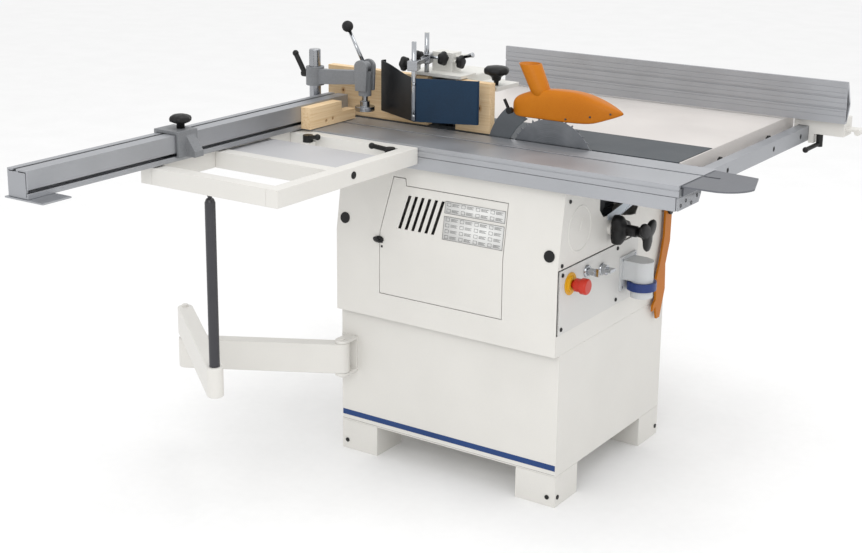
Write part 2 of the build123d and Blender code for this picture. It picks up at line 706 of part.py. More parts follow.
# Stop: a saddle that slides along the fence, with a flap, clamped by a lobed knob.
stop_y = -755.0
stop_half = 33.0
stop_play = 0.4
stop_wall = 8.0
with BuildPart() as stop_saddle:
    saddle_left = squaring_left - stop_play - stop_wall
    saddle_right = squaring_right + stop_play + stop_wall
    block(saddle_left, saddle_right, stop_y - stop_half, stop_y + stop_half,
          squaring_top + stop_play, squaring_top + stop_play + stop_wall)
    block(saddle_right - stop_wall, saddle_right, stop_y - stop_half, stop_y + stop_half,
          squaring_bottom + 8, squaring_top + stop_play)
    block(saddle_left, saddle_left + stop_wall, stop_y - stop_half, stop_y + stop_half,
          squaring_top - 24, squaring_top + stop_play)
    extrude(outline(side_plane(stop_y + 24), [
        (saddle_right, squaring_top - 4), (saddle_right + 26, squaring_bottom + 22),
        (saddle_right + 26, squaring_bottom + 8), (saddle_right, squaring_bottom + 8)]), amount=30)
write(stop_saddle.part, "stop_saddle")

knob_base = squaring_top + stop_play + stop_wall
write(lobed_knob(Plane(origin=(squaring_left + 39, stop_y + 8, knob_base + seam)), 6, 27, 20, 14, waist=0.8),
      "stop_knob")

# ---------------------------------------------------------------- hold-down clamp
column_r = 15.5
column_flange = 13.0         # how far the foot stands out round the column
column_place = (squaring_left - column_r - column_flange - 0.5, -150.0)
column_top = 1050.0
clamp_arm_z = 975.0
pad_place = (slide_left + 231.0, -166.0)
pad_r = 26.0
clamp_play = 0.05
with BuildPart() as clamp_column:
    with Locations((*column_place, table_top)):
        Cylinder(column_r + column_flange, 14, align=(Align.CENTER, Align.CENTER, Align.MIN))
        Cylinder(column_r, column_top - table_top, align=(Align.CENTER, Align.CENTER, Align.MIN))
    fillet(clamp_column.faces().sort_by(Axis.Z)[-1].edges(), 3)
write(clamp_column.part, "clamp_column")

arm_run = Vector(pad_place[0] - column_place[0], pad_place[1] - column_place[1], 0)
arm_plane = Plane(origin=(*column_place, 0), x_dir=arm_run, z_dir=(0, 0, 1))
with BuildPart() as clamp_arm:
    with BuildSketch(arm_plane.offset(clamp_arm_z - 22)):
        Circle(column_r + 9)
    extrude(amount=50)
    with BuildSketch(Plane(origin=(*column_place, 0), x_dir=arm_run, z_dir=arm_run.cross(Vector(0, 0, 1)))
                     .offset(-11)):
        with BuildLine():
            Polyline((column_r, clamp_arm_z - 18), (arm_run.length - 20, clamp_arm_z - 2),
                     (arm_run.length + 14, clamp_arm_z - 2), (arm_run.length + 14, clamp_arm_z + 34),
                     (arm_run.length - 18, clamp_arm_z + 34), (column_r, clamp_arm_z + 22), close=True)
        make_face()
    extrude(amount=22)
    with BuildSketch(arm_plane.offset(clamp_arm_z - 30)):
        with Locations((arm_run.length, 0)):
            Circle(17)
    extrude(amount=60)
    with BuildSketch(arm_plane.offset(clamp_arm_z - 40)):
        Circle(column_r + clamp_play)
        with Locations((arm_run.length, 0)):
            Circle(8 + clamp_play)
    extrude(amount=100, mode=Mode.SUBTRACT)
write(clamp_arm.part, "clamp_arm")

with BuildPart() as clamp_pad:
    with Locations((*pad_place, 905)):
        Cylinder(pad_r, 12, align=(Align.CENTER, Align.CENTER, Align.MIN))
        Cylinder(13, 26, align=(Align.CENTER, Align.CENTER, Align.MIN))
        Cylinder(8, clamp_arm_z + 33 - 905, align=(Align.CENTER, Align.CENTER, Align.MIN))
write(clamp_pad.part, "clamp_pad")

with BuildPart() as clamp_lever_rod:
    lever_root = (*pad_place, clamp_arm_z + 48)
    lever_tip = (pad_place[0] - 56, pad_place[1], 1122.0)
    rod((pad_place[0], pad_place[1] - 12, lever_root[2]),
        (pad_place[0], pad_place[1] + 12, lever_root[2]), 13)
    rod(lever_root, lever_tip, 4.5)
    with Locations(Location(lever_tip, (90, 0, 0))):
        Sphere(15)
write(clamp_lever_rod.part, "clamp_hand_lever")

with BuildPart() as clamp_lock:
    lock_root = (column_place[0] - column_r - 10, column_place[1], clamp_arm_z + 6)
    rod(lock_root, (lock_root[0] - 16, lock_root[1], lock_root[2]), 10)
    lock_tip = (lock_root[0] - 36, lock_root[1] - 6, lock_root[2] + 52)
    rod((lock_root[0] - 10, lock_root[1], lock_root[2]), lock_tip, 7)
    with Locations(lock_tip):
        Sphere(8.5)
write(clamp_lock.part, "clamp_lock_lever")

# ---------------------------------------------------------------- rip fence
fence_bottom = table_top + 5
fence_back = fence_face + fence_thick
fence_grooves = (             # height above the underside, width, depth
    (20, 1.6, 1.2), (33, 1.8, 1.2), (41, 5, 3), (56, 1.6, 1.2), (71, 5, 3), (83, 1.6, 1.2), (97, 1.6, 1.2),
)
with BuildPart() as rip_fence:
    with BuildSketch(end_plane(fence_left)):
        with BuildLine():
            Polyline((fence_face, fence_bottom), (fence_face, fence_bottom + fence_height),
                     (fence_face + 9, fence_bottom + fence_height), (fence_back, fence_bottom + 52),
                     (fence_back, fence_bottom + 44), (fence_face + 14, fence_bottom), close=True)
        make_face()
        with BuildLine():
            Polyline((fence_face + 4, fence_bottom + 6), (fence_face + 4, fence_bottom + 98),
                     (fence_back - 6, fence_bottom + 50), (fence_back - 6, fence_bottom + 46),
                     (fence_face + 12, fence_bottom + 6), close=True)
        make_face(mode=Mode.SUBTRACT)
        for height, width, depth in fence_grooves:
            with Locations((fence_face, fence_bottom + height)):
                Rectangle(2 * depth, width, mode=Mode.SUBTRACT)
    extrude(amount=fence_right - fence_left)
write(rip_fence.part, "rip_fence")

# Carrier: a block that straddles the guide rail and holds the fence by two lugs behind it.
carrier_y = fence_back + seam
rail_play = 0.4
carrier_right = rail_x + rail_width + 98
strap_end = carrier_right + 32
with BuildPart() as rip_carrier:
    block(rail_x - 12, carrier_right, carrier_y, carrier_y + 62, rail_top + rail_play, rail_top + 30)
    block(rail_x + rail_width + rail_play, rail_x + rail_width + 16, carrier_y, carrier_y + 62,
          rail_bottom - 6, rail_top + rail_play)
    block(rail_x - 12, rail_x - rail_play, carrier_y, carrier_y + 62, rail_top - 14, rail_top + rail_play)
    block(rail_x + rail_width + 16, carrier_right, carrier_y, carrier_y + 62, rail_top - 20,
          rail_top + rail_play)
    block(rail_x + 40, carrier_right - 68, carrier_y, carrier_y + 16, rail_top + 30, fence_bottom + 40)
    # strap at the carrier's outer end, ending in a curl
    block(carrier_right, strap_end, carrier_y + 12, carrier_y + 52, rail_top - 4, rail_top + 2)
    rod((strap_end, carrier_y + 12, rail_top - 5), (strap_end, carrier_y + 52, rail_top - 5), 9)
write(rip_carrier.part, "rip_carrier")

with BuildPart() as rip_lock_lever:
    lever_x = rail_x + rail_width + 30
    rod((lever_x, carrier_y + 8, rail_bottom - 14), (lever_x, carrier_y + 8, rail_top - 21), 9)
    rod((lever_x, carrier_y + 8, rail_bottom - 6), (lever_x - 10, carrier_y - 68, rail_bottom - 12), 6)
    with Locations((lever_x - 10, carrier_y - 68, rail_bottom - 12)):
        Sphere(8)
write(rip_lock_lever.part, "rip_lock_lever")

# ---------------------------------------------------------------- shaper guard
# Cast hood over the spindle, open in front and below, with a flange that carries the rods.
rear_rod_place = (-200.0, -88.0)
front_rod_place = (-160.0, -205.0)
rod_r = 6.0
hood_lip_top = 1011.0
board_bottom = table_top + seam
board_top = board_bottom + board_height


def small_knob(base, facing, radius, neck):
    """A five-lobed clamping knob on a neck, facing along one of the axes."""
    across = (1, 0, 0) if facing[2] else (0, 1, 0)
    return lobed_knob(Plane(origin=base, x_dir=across, z_dir=facing), 5, radius, 11, neck, waist=0.75)


with BuildPart() as shaper_hood:
    with BuildSketch(Plane.XY.offset(table_top + seam)):
        with Locations(((hood_left + hood_right) / 2, (hood_front + hood_back) / 2)):
            RectangleRounded(hood_right - hood_left, hood_back - hood_front, 36)
    extrude(amount=hood_top - table_top - seam)
    fillet(shaper_hood.faces().sort_by(Axis.Z)[-1].edges(), 5)
    block(hood_left, hood_right, hood_front, hood_front + 40, table_top + seam, hood_lip_top)
    with BuildSketch(Plane.XY.offset(table_top - 1)):
        with Locations(((hood_left + hood_right) / 2, (hood_front + hood_back) / 2)):
            RectangleRounded(hood_right - hood_left - 2 * hood_wall,
                             hood_back - hood_front - 2 * hood_wall, 28)
    extrude(amount=hood_top - hood_wall - table_top + 1, mode=Mode.SUBTRACT)
    block(hood_left + 2 * hood_wall, hood_right - 2 * hood_wall, hood_front - 5, hood_front + 50,
          table_top - 1, board_top - 6, mode=Mode.SUBTRACT)
    block(hood_left + 10, hood_right, hood_front - 34, hood_front + 10, board_top + 3, hood_lip_top)
    block(hood_right - 6, -2, hood_front + 4, hood_back - 30, board_top - 24, board_top - 14)
    rod((*rear_rod_place, board_top + 3), (*rear_rod_place, 1115), rod_r)
    # raised boss with a short cross rod, and the lobed knob that clamps it
    block(boss_left, boss_right, boss_front, boss_front + 44, hood_top - 4, boss_top)
    rod((boss_right - 10, boss_front + 22, boss_top - 14),
        (boss_right + 50, boss_front + 22, boss_top - 2), 5)
    add(small_knob((boss_right, boss_front + 10, boss_top - 22), (1, 0, 0), 15, 14))
write(shaper_hood.part, "shaper_hood")

with BuildPart() as hood_knob:
    knob_place = (-24.0, -28.0)
    with Locations((*knob_place, board_top - 14 + seam)):
        Cylinder(6, 14, align=(Align.CENTER, Align.CENTER, Align.MIN))
    with BuildSketch(Plane.XZ.offset(-knob_place[1])):
        with BuildLine():
            x, z = knob_place[0], board_top - 4
            Polyline((x, z), (x + 11, z), (x + 16, z + 16), (x + 30, z + 20))
            RadiusArc((x + 30, z + 20), (x + 28, z + 38), -12)
            Polyline((x + 28, z + 38), (x, z + 41), (x, z))
        make_face()
    revolve(axis=Axis((*knob_place, 0), (0, 0, 1)))
write(hood_knob.part, "hood_knob")

board_spans = {"fence_board_left": (-522.0, -196.0), "fence_board_right": (-108.0, -4.0)}
for board_name, (x0, x1) in board_spans.items():
    with BuildPart() as board:
        block(x0, x1, board_front, board_front + board_thick, board_bottom, board_top)
    write(board.part, board_name)

# Presser arm: two cross clamps on a square bar, with their lobed knobs.
clamp_z = 1048.0
clamp_half = 13.0
cross = Vector(front_rod_place[0] - rear_rod_place[0], front_rod_place[1] - rear_rod_place[1], 0)
cross_plane = Plane(origin=(*rear_rod_place, clamp_z), x_dir=cross, z_dir=(0, 0, 1))
small_knobs = [
    small_knob((-174, -207, clamp_z + 2), (-1, 0, 0), 15, 14),
    small_knob((-177, -150, clamp_z + 4), (0, 0, 1), 13, 14),
    small_knob((-186, -86, clamp_z), (-1, 0, 0), 15, 10),
    small_knob((-190, -82, clamp_z + 4), (1, 0, 0), 15, 30),
]
with BuildPart() as presser_arm:
    with BuildSketch(cross_plane.offset(-clamp_half)):
        for reach in (0, cross.length):
            with Locations((reach, 0)):
                Rectangle(36, 28)
    extrude(amount=2 * clamp_half)
    with BuildSketch(cross_plane.offset(-6)):
        with Locations((cross.length / 2, 0)):
            Rectangle(cross.length, 12)
    extrude(amount=12)
    for knob in small_knobs:
        add(knob)
    for x, y in (rear_rod_place, front_rod_place):
        rod((x, y, clamp_z - 40), (x, y, clamp_z + 40), rod_r + rod_play, mode=Mode.SUBTRACT)
write(presser_arm.part, "presser_arm")

# Presser guard: two bent plates in a V around the front rod.
guard_low = 903.0
guard_high = 1015.0
plate_thick = 3.0
right_tip = (-3.0, -146.0)
left_tip = (-324.0, -126.0)
with BuildPart() as presser_guard:
    rod((*front_rod_place, guard_low + 4), (*front_rod_place, 1108), rod_r)
    for tip, rise in ((right_tip, 0), (left_tip, 22)):
        run = Vector(tip[0] - front_rod_place[0], tip[1] - front_rod_place[1], 0)
        plate_plane = Plane(origin=(*front_rod_place, 0), x_dir=run, z_dir=run.cross(Vector(0, 0, 1)))
        with BuildSketch(plate_plane.offset(-plate_thick / 2)):
            with BuildLine():
                bottom = Line((0, guard_low), (run.length - 4, guard_low))
                Line(bottom @ 1, (run.length - 4, guard_high + rise))
                Spline((run.length - 4, guard_high + rise), (run.length * 0.55, guard_high + rise * 0.35),
                       (0, guard_high), tangents=((-1, 0), (-1, 0)))
                Line((0, guard_high), (0, guard_low))
            make_face()
        extrude(amount=plate_thick)
        rod((tip[0], tip[1] + 2, guard_low), (tip[0], tip[1] + 2, guard_high + rise), 6)
    for z in (guard_low + 16, guard_high - 14):
        rod((front_rod_place[0], front_rod_place[1] - 5, z), (front_rod_place[0], front_rod_place[1] - 9, z), 4)
write(presser_guard.part, "presser_guard")

# ---------------------------------------------------------------- spindle under the hood
with BuildPart() as spindle_quill:
    rod((spindle_x, spindle_y, 590), (spindle_x, spindle_y, 836), quill_r)
    rod((spindle_x, spindle_y, 580), (spindle_x, spindle_y, 846), spindle_r + rod_play, mode=Mode.SUBTRACT)
    block(spindle_x - 50, spindle_x + 50, spindle_y + 30, 66, 620, 632)
    block(spindle_x - 50, spindle_x + 50, 66, 78, 600, 720)
    rod((spindle_x, 134, 590), (spindle_x, 134, 740), 60)
write(spindle_quill.part, "spindle_quill")

with BuildPart() as spindle_shaft:
    rod((spindle_x, spindle_y, 545), (spindle_x, spindle_y, 985), spindle_r)
    rod((spindle_x, spindle_y, 550), (spindle_x, spindle_y, 586), 32)
    for ring in range(6):
        z = 846 + 20 * ring
        rod((spindle_x, spindle_y, z), (spindle_x, spindle_y, z + 19.6), 24)
    rod((spindle_x, spindle_y, 966), (spindle_x, spindle_y, 982), 20)
write(spindle_shaft.part, "spindle_shaft")

# ---------------------------------------------------------------- saw unit
bearing_r = 28.0
arbor_play = 0.03
motor_z = 672.0
tilt_left = 90.0
tilt_right = 280.0
slide_plate_left = 127.0
slide_plate_right = 243.0
with BuildPart() as tilt_frame:
    for x in (tilt_left, tilt_right - 8):
        extrude(outline(end_plane(x), [
            (-80, 700), (0, 690), (14, 700), (40, 770), (40, 850), (-80, 850)]), amount=8)
    block(tilt_left, tilt_right, 30, 40, 770, 850)
    block(tilt_left + 8, slide_plate_left - seam, -54, -46 + seam, 690, 850)
    block(slide_plate_right + seam, tilt_right - 8, -54, -46 + seam, 690, 850)
write(tilt_frame.part, "tilt_frame")

with BuildPart() as saw_slide:
    rod((arbor_x, -88, arbor_z), (arbor_x, -8, arbor_z), bearing_r)
    block(slide_plate_left, slide_plate_right, -40, -30, motor_z - 30, arbor_z)
    for x in (slide_plate_left, slide_plate_right - 10):
        block(x, x + 10, -34, 24, motor_z - 30, motor_z + 30)
    block(slide_plate_left, slide_plate_right, 16, 24, motor_z - 60, motor_z + 60)
    rod((arbor_x, 10, motor_z), (arbor_x, 30, motor_z), 14, mode=Mode.SUBTRACT)
    rod((arbor_x, -92, arbor_z), (arbor_x, 0, arbor_z), arbor_r + arbor_play, mode=Mode.SUBTRACT)
    # arm that carries the riving knife behind the blade
    block(50, 156, -94, -86, 780, 806)
    block(8, 50, -98.6, -86, 780, 806)
    block(138, 162, -86.5, -60, 780, 806)
write(saw_slide.part, "saw_slide")

with BuildPart() as saw_motor:
    rod((arbor_x, 24 + seam, motor_z), (arbor_x, 146, motor_z), 52)
    rod((arbor_x, 146, motor_z), (arbor_x, 166, motor_z), 44)
    for fin in range(16):
        turn = 2 * math.pi * fin / 16
        place = Location((arbor_x + 53 * math.cos(turn), 84, motor_z + 53 * math.sin(turn)),
                         (0, -math.degrees(turn), 0))
        with Locations(place):
            Box(6, 110, 2.5)
    rod((arbor_x, 20, motor_z), (arbor_x, 60, motor_z), 10 + rod_play, mode=Mode.SUBTRACT)
write(saw_motor.part, "saw_motor")

with BuildPart() as motor_pulley:
    rod((arbor_x, 0, motor_z), (arbor_x, 58, motor_z), 10)
    rod((arbor_x, -4, motor_z), (arbor_x, 14, motor_z), 40)
write(motor_pulley.part, "motor_pulley")

with BuildPart() as saw_arbor:
    rod((arbor_x, -107, arbor_z), (arbor_x, 16, arbor_z), arbor_r)
    rod((arbor_x, blade_plane + blade_plate / 2, arbor_z), (arbor_x, -89, arbor_z), 25)
    rod((arbor_x, -105, arbor_z), (arbor_x, blade_plane - blade_plate / 2, arbor_z), 25)
    rod((arbor_x, -108.6, arbor_z), (arbor_x, -105, arbor_z), 17)
    rod((arbor_x, -4, arbor_z), (arbor_x, 14, arbor_z), 30)
write(saw_arbor.part, "saw_arbor")

# Blade: a thin plate with gullets and carbide tips that are wider than the plate.
tooth_pitch = 2 * math.pi / blade_teeth
with BuildPart() as saw_blade:
    with BuildSketch(side_plane(blade_plane - blade_plate / 2)):
        with Locations((arbor_x, arbor_z)):
            Circle(blade_radius - 5)
            Circle(arbor_r + arbor_play, mode=Mode.SUBTRACT)
            with PolarLocations(blade_radius - 9, blade_teeth):
                Polygon((-3, -5.5), (8, 0.2), (8, 2.0), (-3, 7), align=None)
    extrude(amount=-blade_plate)
    with BuildSketch(side_plane(blade_plane - blade_kerf / 2)):
        with Locations((arbor_x, arbor_z)):
            with PolarLocations(blade_radius - 3.1, blade_teeth):
                Rectangle(6, 2.4)
    extrude(amount=-blade_kerf)
write(saw_blade.part, "saw_blade")

# Riving knife: a curved plate behind the blade, concentric with it.
knife_inner = blade_radius + knife_gap
knife_outer = knife_inner + knife_width


def around_arbor(radius, degrees):
    """A point around the arbor's axis, measured up from the side behind the blade."""
    turn = math.radians(degrees)
    return (arbor_x - radius * math.cos(turn), arbor_z + radius * math.sin(turn))


with BuildPart() as riving_knife:
    with BuildSketch(side_plane(blade_plane - knife_plate / 2)):
        with BuildLine():
            outer = ThreePointArc(around_arbor(knife_outer - 4, -9), around_arbor(knife_outer, 22),
                                  around_arbor(knife_outer - 2, 47))
            inner = ThreePointArc(around_arbor(knife_inner, -9), around_arbor(knife_inner, 22),
                                  around_arbor(knife_inner, 58))
            Line(outer @ 1, inner @ 1)
            Line(outer @ 0, inner @ 0)
        make_face()
    extrude(amount=-knife_plate)
write(riving_knife.part, "riving_knife")

# Blade guard: an orange shell over the blade with a dust spout, clamped to the knife.
guard_half = 32.0
guard_wall = 3.0
guard_shape = [
    (86, 1059), (147, 1080), (182, 1010), (222, 1010), (263, 1011), (311, 1001), (353, 986),
    (381, 970), (370, 962), (303, 938), (240, 935), (93, 935), (76, 963), (114, 985),
]
with BuildPart() as blade_guard:
    extrude(outline(side_plane(blade_plane - guard_half), guard_shape), amount=-2 * guard_half)
    # the nose narrows towards its tip
    for side in (-1, 1):
        with BuildSketch(Plane.XY.offset(900)):
            with BuildLine():
                outside = blade_plane + side * (guard_half + 1)
                Polyline((285, outside), (390, outside), (390, blade_plane + side * 9),
                         (330, blade_plane + side * 24), close=True)
            make_face()
        extrude(amount=220, mode=Mode.SUBTRACT)
    fillet(blade_guard.edges().filter_by(Axis.Y).group_by(Axis.Z)[-1], 2)
    # hollow for the blade, open below, and a bore up the spout
    with BuildSketch(side_plane(blade_plane - guard_half + guard_wall)):
        with BuildLine():
            Polyline((104, 930), (104, 972), (126, 1000), (176, 1000), (262, 1001), (283, 996),
                     (283, 930), close=True)
        make_face()
    extrude(amount=-2 * (guard_half - guard_wall), mode=Mode.SUBTRACT)
    rod((147, blade_plane, 990), (112, blade_plane, 1085), 24, mode=Mode.SUBTRACT)
    block(60, 110, blade_plane - knife_plate / 2 - 0.4, blade_plane + knife_plate / 2 + 0.4, 930, 990,
          mode=Mode.SUBTRACT)
write(blade_guard.part, "blade_guard")

with BuildPart() as guard_lever:
    rod((84, blade_plane - guard_half - 12, 950), (84, blade_plane - guard_half - seam, 950), 8)
    rod((84, blade_plane - guard_half - 8, 950), (74, blade_plane - guard_half - 16, 979), 4)
write(guard_lever.part, "guard_lever")
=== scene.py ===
import math

import bmesh
import bpy
from mathutils import Matrix, Vector


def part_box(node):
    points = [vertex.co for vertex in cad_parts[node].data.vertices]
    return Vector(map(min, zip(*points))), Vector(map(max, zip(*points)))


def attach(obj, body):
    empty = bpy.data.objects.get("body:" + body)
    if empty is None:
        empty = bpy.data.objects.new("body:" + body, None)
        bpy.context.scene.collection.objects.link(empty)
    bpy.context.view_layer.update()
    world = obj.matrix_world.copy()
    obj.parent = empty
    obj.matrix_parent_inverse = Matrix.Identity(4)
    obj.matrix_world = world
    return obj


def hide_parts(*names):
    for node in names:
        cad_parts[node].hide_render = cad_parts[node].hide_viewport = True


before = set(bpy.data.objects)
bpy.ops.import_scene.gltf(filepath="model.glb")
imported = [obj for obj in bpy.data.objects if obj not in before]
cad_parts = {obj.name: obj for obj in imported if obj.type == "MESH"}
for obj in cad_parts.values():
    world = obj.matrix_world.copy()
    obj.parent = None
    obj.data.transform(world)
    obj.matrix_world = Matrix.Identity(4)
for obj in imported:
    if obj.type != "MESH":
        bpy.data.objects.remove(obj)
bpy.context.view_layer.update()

# ------------------------------------------------------------------ base cabinet
# The stand is folded sheet steel with four welded box feet, sprayed in warm off-white
# powder coat. The coat has a faint orange-peel texture, and every fold has a small radius.


def linear(code):
    """A screen colour such as "E8E6E0" as the shader's own linear red, green, blue, alpha."""
    parts = [int(code[at:at + 2], 16) / 255 for at in (0, 2, 4)]
    return (*[p / 12.92 if p <= 0.04045 else ((p + 0.055) / 1.055) ** 2.4 for p in parts], 1)


class Finish:
    """A material that is built from noise and spots, a step at a time."""

    def __init__(self, name, metal=0.0, shine=0.5, coat=0.0):
        self.material = bpy.data.materials.new(name)
        self.material.use_nodes = True
        self.nodes = self.material.node_tree.nodes
        self.shader = self.nodes["Principled BSDF"]
        self.shader.inputs["Metallic"].default_value = metal
        self.shader.inputs["Specular IOR Level"].default_value = shine
        self.shader.inputs["Coat Weight"].default_value = coat
        self.shader.inputs["Coat Roughness"].default_value = 0.1
        self.where = self.nodes.new("ShaderNodeTexCoord").outputs["Object"]

    def link(self, start, end):
        self.material.node_tree.links.new(start, end)

    def grain(self, size, stretch=(1, 1, 1), detail=3):
        """Noise of a given size, drawn out where stretch is small."""
        scaled = self.nodes.new("ShaderNodeMapping")
        scaled.inputs["Scale"].default_value = stretch
        self.link(self.where, scaled.inputs["Vector"])
        noise = self.nodes.new("ShaderNodeTexNoise")
        noise.inputs["Scale"].default_value = size
        noise.inputs["Detail"].default_value = detail
        self.link(scaled.outputs["Vector"], noise.inputs["Vector"])
        return noise.outputs["Fac"]

    def ramp(self, value, low, high, start=0.0, end=1.0):
        """The value's range from low to high, spread over start to end."""
        spread = self.nodes.new("ShaderNodeMapRange")
        for socket, number in zip(("From Min", "From Max", "To Min", "To Max"), (low, high, start, end)):
            spread.inputs[socket].default_value = number
        self.link(value, spread.inputs["Value"])
        return spread.outputs["Result"]

    def sum_of(self, first, share, second):
        """share parts of the first value and the rest of the second."""
        mixed = self.nodes.new("ShaderNodeMix")
        mixed.inputs["Factor"].default_value = 1 - share
        self.link(first, mixed.inputs[2])
        self.link(second, mixed.inputs[3])
        return mixed.outputs[0]

    def tones(self, value, dark, light):
        """A colour between dark and light. Each is a screen colour or another colour's socket."""
        mixed = self.nodes.new("ShaderNodeMix")
        mixed.data_type = "RGBA"
        self.link(value, mixed.inputs["Factor"])
        for socket, colour in ((6, dark), (7, light)):
            if isinstance(colour, str):
                mixed.inputs[socket].default_value = linear(colour)
            else:
                self.link(colour, mixed.inputs[socket])
        return mixed.outputs[2]

    def distance(self, place, squash=(1, 1, 1)):
        """How far a point of the surface is from a place, in metres."""
        moved = self.nodes.new("ShaderNodeMapping")
        moved.vector_type = "POINT"
        moved.inputs["Location"].default_value = [-p * s for p, s in zip(place, squash)]
        moved.inputs["Scale"].default_value = squash
        self.link(self.where, moved.inputs["Vector"])
        length = self.nodes.new("ShaderNodeVectorMath")
        length.operation = "LENGTH"
        self.link(moved.outputs["Vector"], length.inputs[0])
        return length.outputs["Value"]

    def done(self, colour, gloss, relief, depth):
        """Colour, roughness and relief go to the shader."""
        self.link(colour, self.shader.inputs["Base Color"])
        self.link(gloss, self.shader.inputs["Roughness"])
        bump = self.nodes.new("ShaderNodeBump")
        bump.inputs["Strength"].default_value = 1.0
        bump.inputs["Distance"].default_value = depth
        self.link(relief, bump.inputs["Height"])
        self.link(bump.outputs["Normal"], self.shader.inputs["Normal"])
        return self.material


def sprayed(name, dark, light, gloss=(0.34, 0.48), shine=0.35, peel=620, depth=0.00006, coat=0.0):
    """Paint or moulded plastic: slow change of tone, fine peel, and gloss that varies a little."""
    finish = Finish(name, shine=shine, coat=coat)
    slow = finish.grain(5, detail=5)
    fine = finish.grain(peel, detail=2)
    tone = finish.ramp(finish.sum_of(slow, 0.7, fine), 0.35, 0.65)
    return finish.done(finish.tones(tone, dark, light), finish.ramp(slow, 0.35, 0.65, *gloss), fine, depth)


def dress(finish, *names, edge=0.0009):
    """Gives CAD nodes a finish on every material slot, and a small radius on their sharp edges."""
    for name in names:
        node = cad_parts[name]
        for place in node.material_slots:
            place.material = finish
        if edge:
            weld = node.modifiers.new("weld", "WELD")
            weld.merge_threshold = 0.00001
            flat = node.modifiers.new("flat", "DECIMATE")
            flat.decimate_type = "DISSOLVE"
            flat.angle_limit = math.radians(0.4)
            ease(node, edge, 34)


def ease(part, width, angle=30, segments=2):
    """Rounds a piece's sharp edges, and shades its flats flat."""
    bevel = part.modifiers.new("ease", "BEVEL")
    bevel.width = width
    bevel.segments = segments
    bevel.limit_method = "ANGLE"
    bevel.angle_limit = math.radians(angle)
    part.modifiers.new("normals", "WEIGHTED_NORMAL")


def piece_of(name, points, faces, finish, body, edge=0.0):
    """A new piece from its corner points and faces, with its finish, on its body."""
    mesh = bpy.data.meshes.new(name)
    mesh.from_pydata([tuple(p) for p in points], [], faces)
    shape = bmesh.new()
    shape.from_mesh(mesh)
    bmesh.ops.recalc_face_normals(shape, faces=shape.faces)
    shape.to_mesh(mesh)
    shape.free()
    mesh.materials.append(finish)
    mesh.shade_smooth()
    piece = bpy.data.objects.new(name, mesh)
    bpy.context.scene.collection.objects.link(piece)
    if edge:
        ease(piece, edge)
    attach(piece, body)
    return piece


def loft(name, rings, finish, body, edge=0.0, closed=True, ends=True):
    """A skin over rings of points. closed joins the ends of each ring, and ends caps the skin."""
    count = len(rings[0])
    points = [p for ring in rings for p in ring]
    faces = []
    for row in range(len(rings) - 1):
        for i in range(count if closed else count - 1):
            near, far = row * count, (row + 1) * count
            faces.append((near + i, near + (i + 1) % count, far + (i + 1) % count, far + i))
    if ends:
        faces += [tuple(range(count)), tuple(range(len(points) - count, len(points)))]
    return piece_of(name, points, faces, finish, body, edge)


def cut_sheet(name, outline, lift, facing, finish, body, edge=0.0006):
    """A flat piece cut to an outline, from one level to another. facing says how the outline lies."""
    lay = {"front": lambda a, b, c: (a, c, b), "end": lambda a, b, c: (c, a, b)}
    return loft(name, [[lay[facing](a, b, level) for a, b in outline] for level in lift],
                finish, body, edge)


powder_white = sprayed("powder_white", "D5D3CE", "DBD9D4")
dress(powder_white, "base_cabinet")

# The blue band round the foot of the front is a printed strip, with a folded seam below it.
base_low, base_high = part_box("base_cabinet")
band_left, band_right = base_low.x + 0.002, base_high.x - 0.002


def foot_strip(name, low, high, proud, finish, edge):
    """A strip right across the front of the base, from one height to another."""
    cut_sheet(name, [(band_left, low), (band_right, low), (band_right, high), (band_left, high)],
              (base_low.y - proud, base_low.y + 0.001), "front", finish, "machine", edge)


band_blue = sprayed("band_blue", "16366A", "1B3F78", (0.3, 0.4))
foot_strip("blue_band", 0.097, 0.112, 0.0005, band_blue, 0.0002)
seam_grey = sprayed("seam_grey", "8F8D89", "A09E9A", (0.6, 0.8))
foot_strip("fold_seam", 0.0855, 0.0864, 0.0003, seam_grey, 0)

# ------------------------------------------------------------------ upper cabinet
# The upper cabinet is a wider folded box whose front leans back above a crease. It has
# pressed louvres, an access door with a black turn latch, and plugs over its bolt holes.
dress(powder_white, "cabinet_shell", "cabinet_front", "access_door")
black_moulding = sprayed("black_moulding", "121212", "1B1B1C", (0.36, 0.55), 0.3, 900, 0.00012)
dress(black_moulding, "black_fittings")

front_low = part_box("cabinet_front")[0]
crease = 0.617
lean_rate = 0.029 / 0.189


def front_at(x, z, proud):
    """A point in front of the cabinet's face, which leans back above its crease."""
    return Vector((x, front_low.y + max(0.0, z - crease) * lean_rate - proud, z))


def bar_faces(at):
    """The six faces of a bar whose eight corners are numbered from at: four above, four below."""
    lids = [(at, at + 1, at + 2, at + 3), (at + 7, at + 6, at + 5, at + 4)]
    return lids + [(at + i, at + (i + 1) % 4, at + 4 + (i + 1) % 4, at + 4 + i) for i in range(4)]


def printed(name, bars, proud, thick, finish, body):
    """Small flat bars on the cabinet's front, such as the lines of a notice: x0, x1, z0, z1 each."""
    points, faces = [], []
    for x0, x1, z0, z1 in bars:
        faces += bar_faces(len(points))
        for level in (proud, proud - thick):
            points += [front_at(x, z, level) for x, z in ((x0, z0), (x1, z0), (x1, z1), (x0, z1))]
    return piece_of(name, points, faces, finish, body)


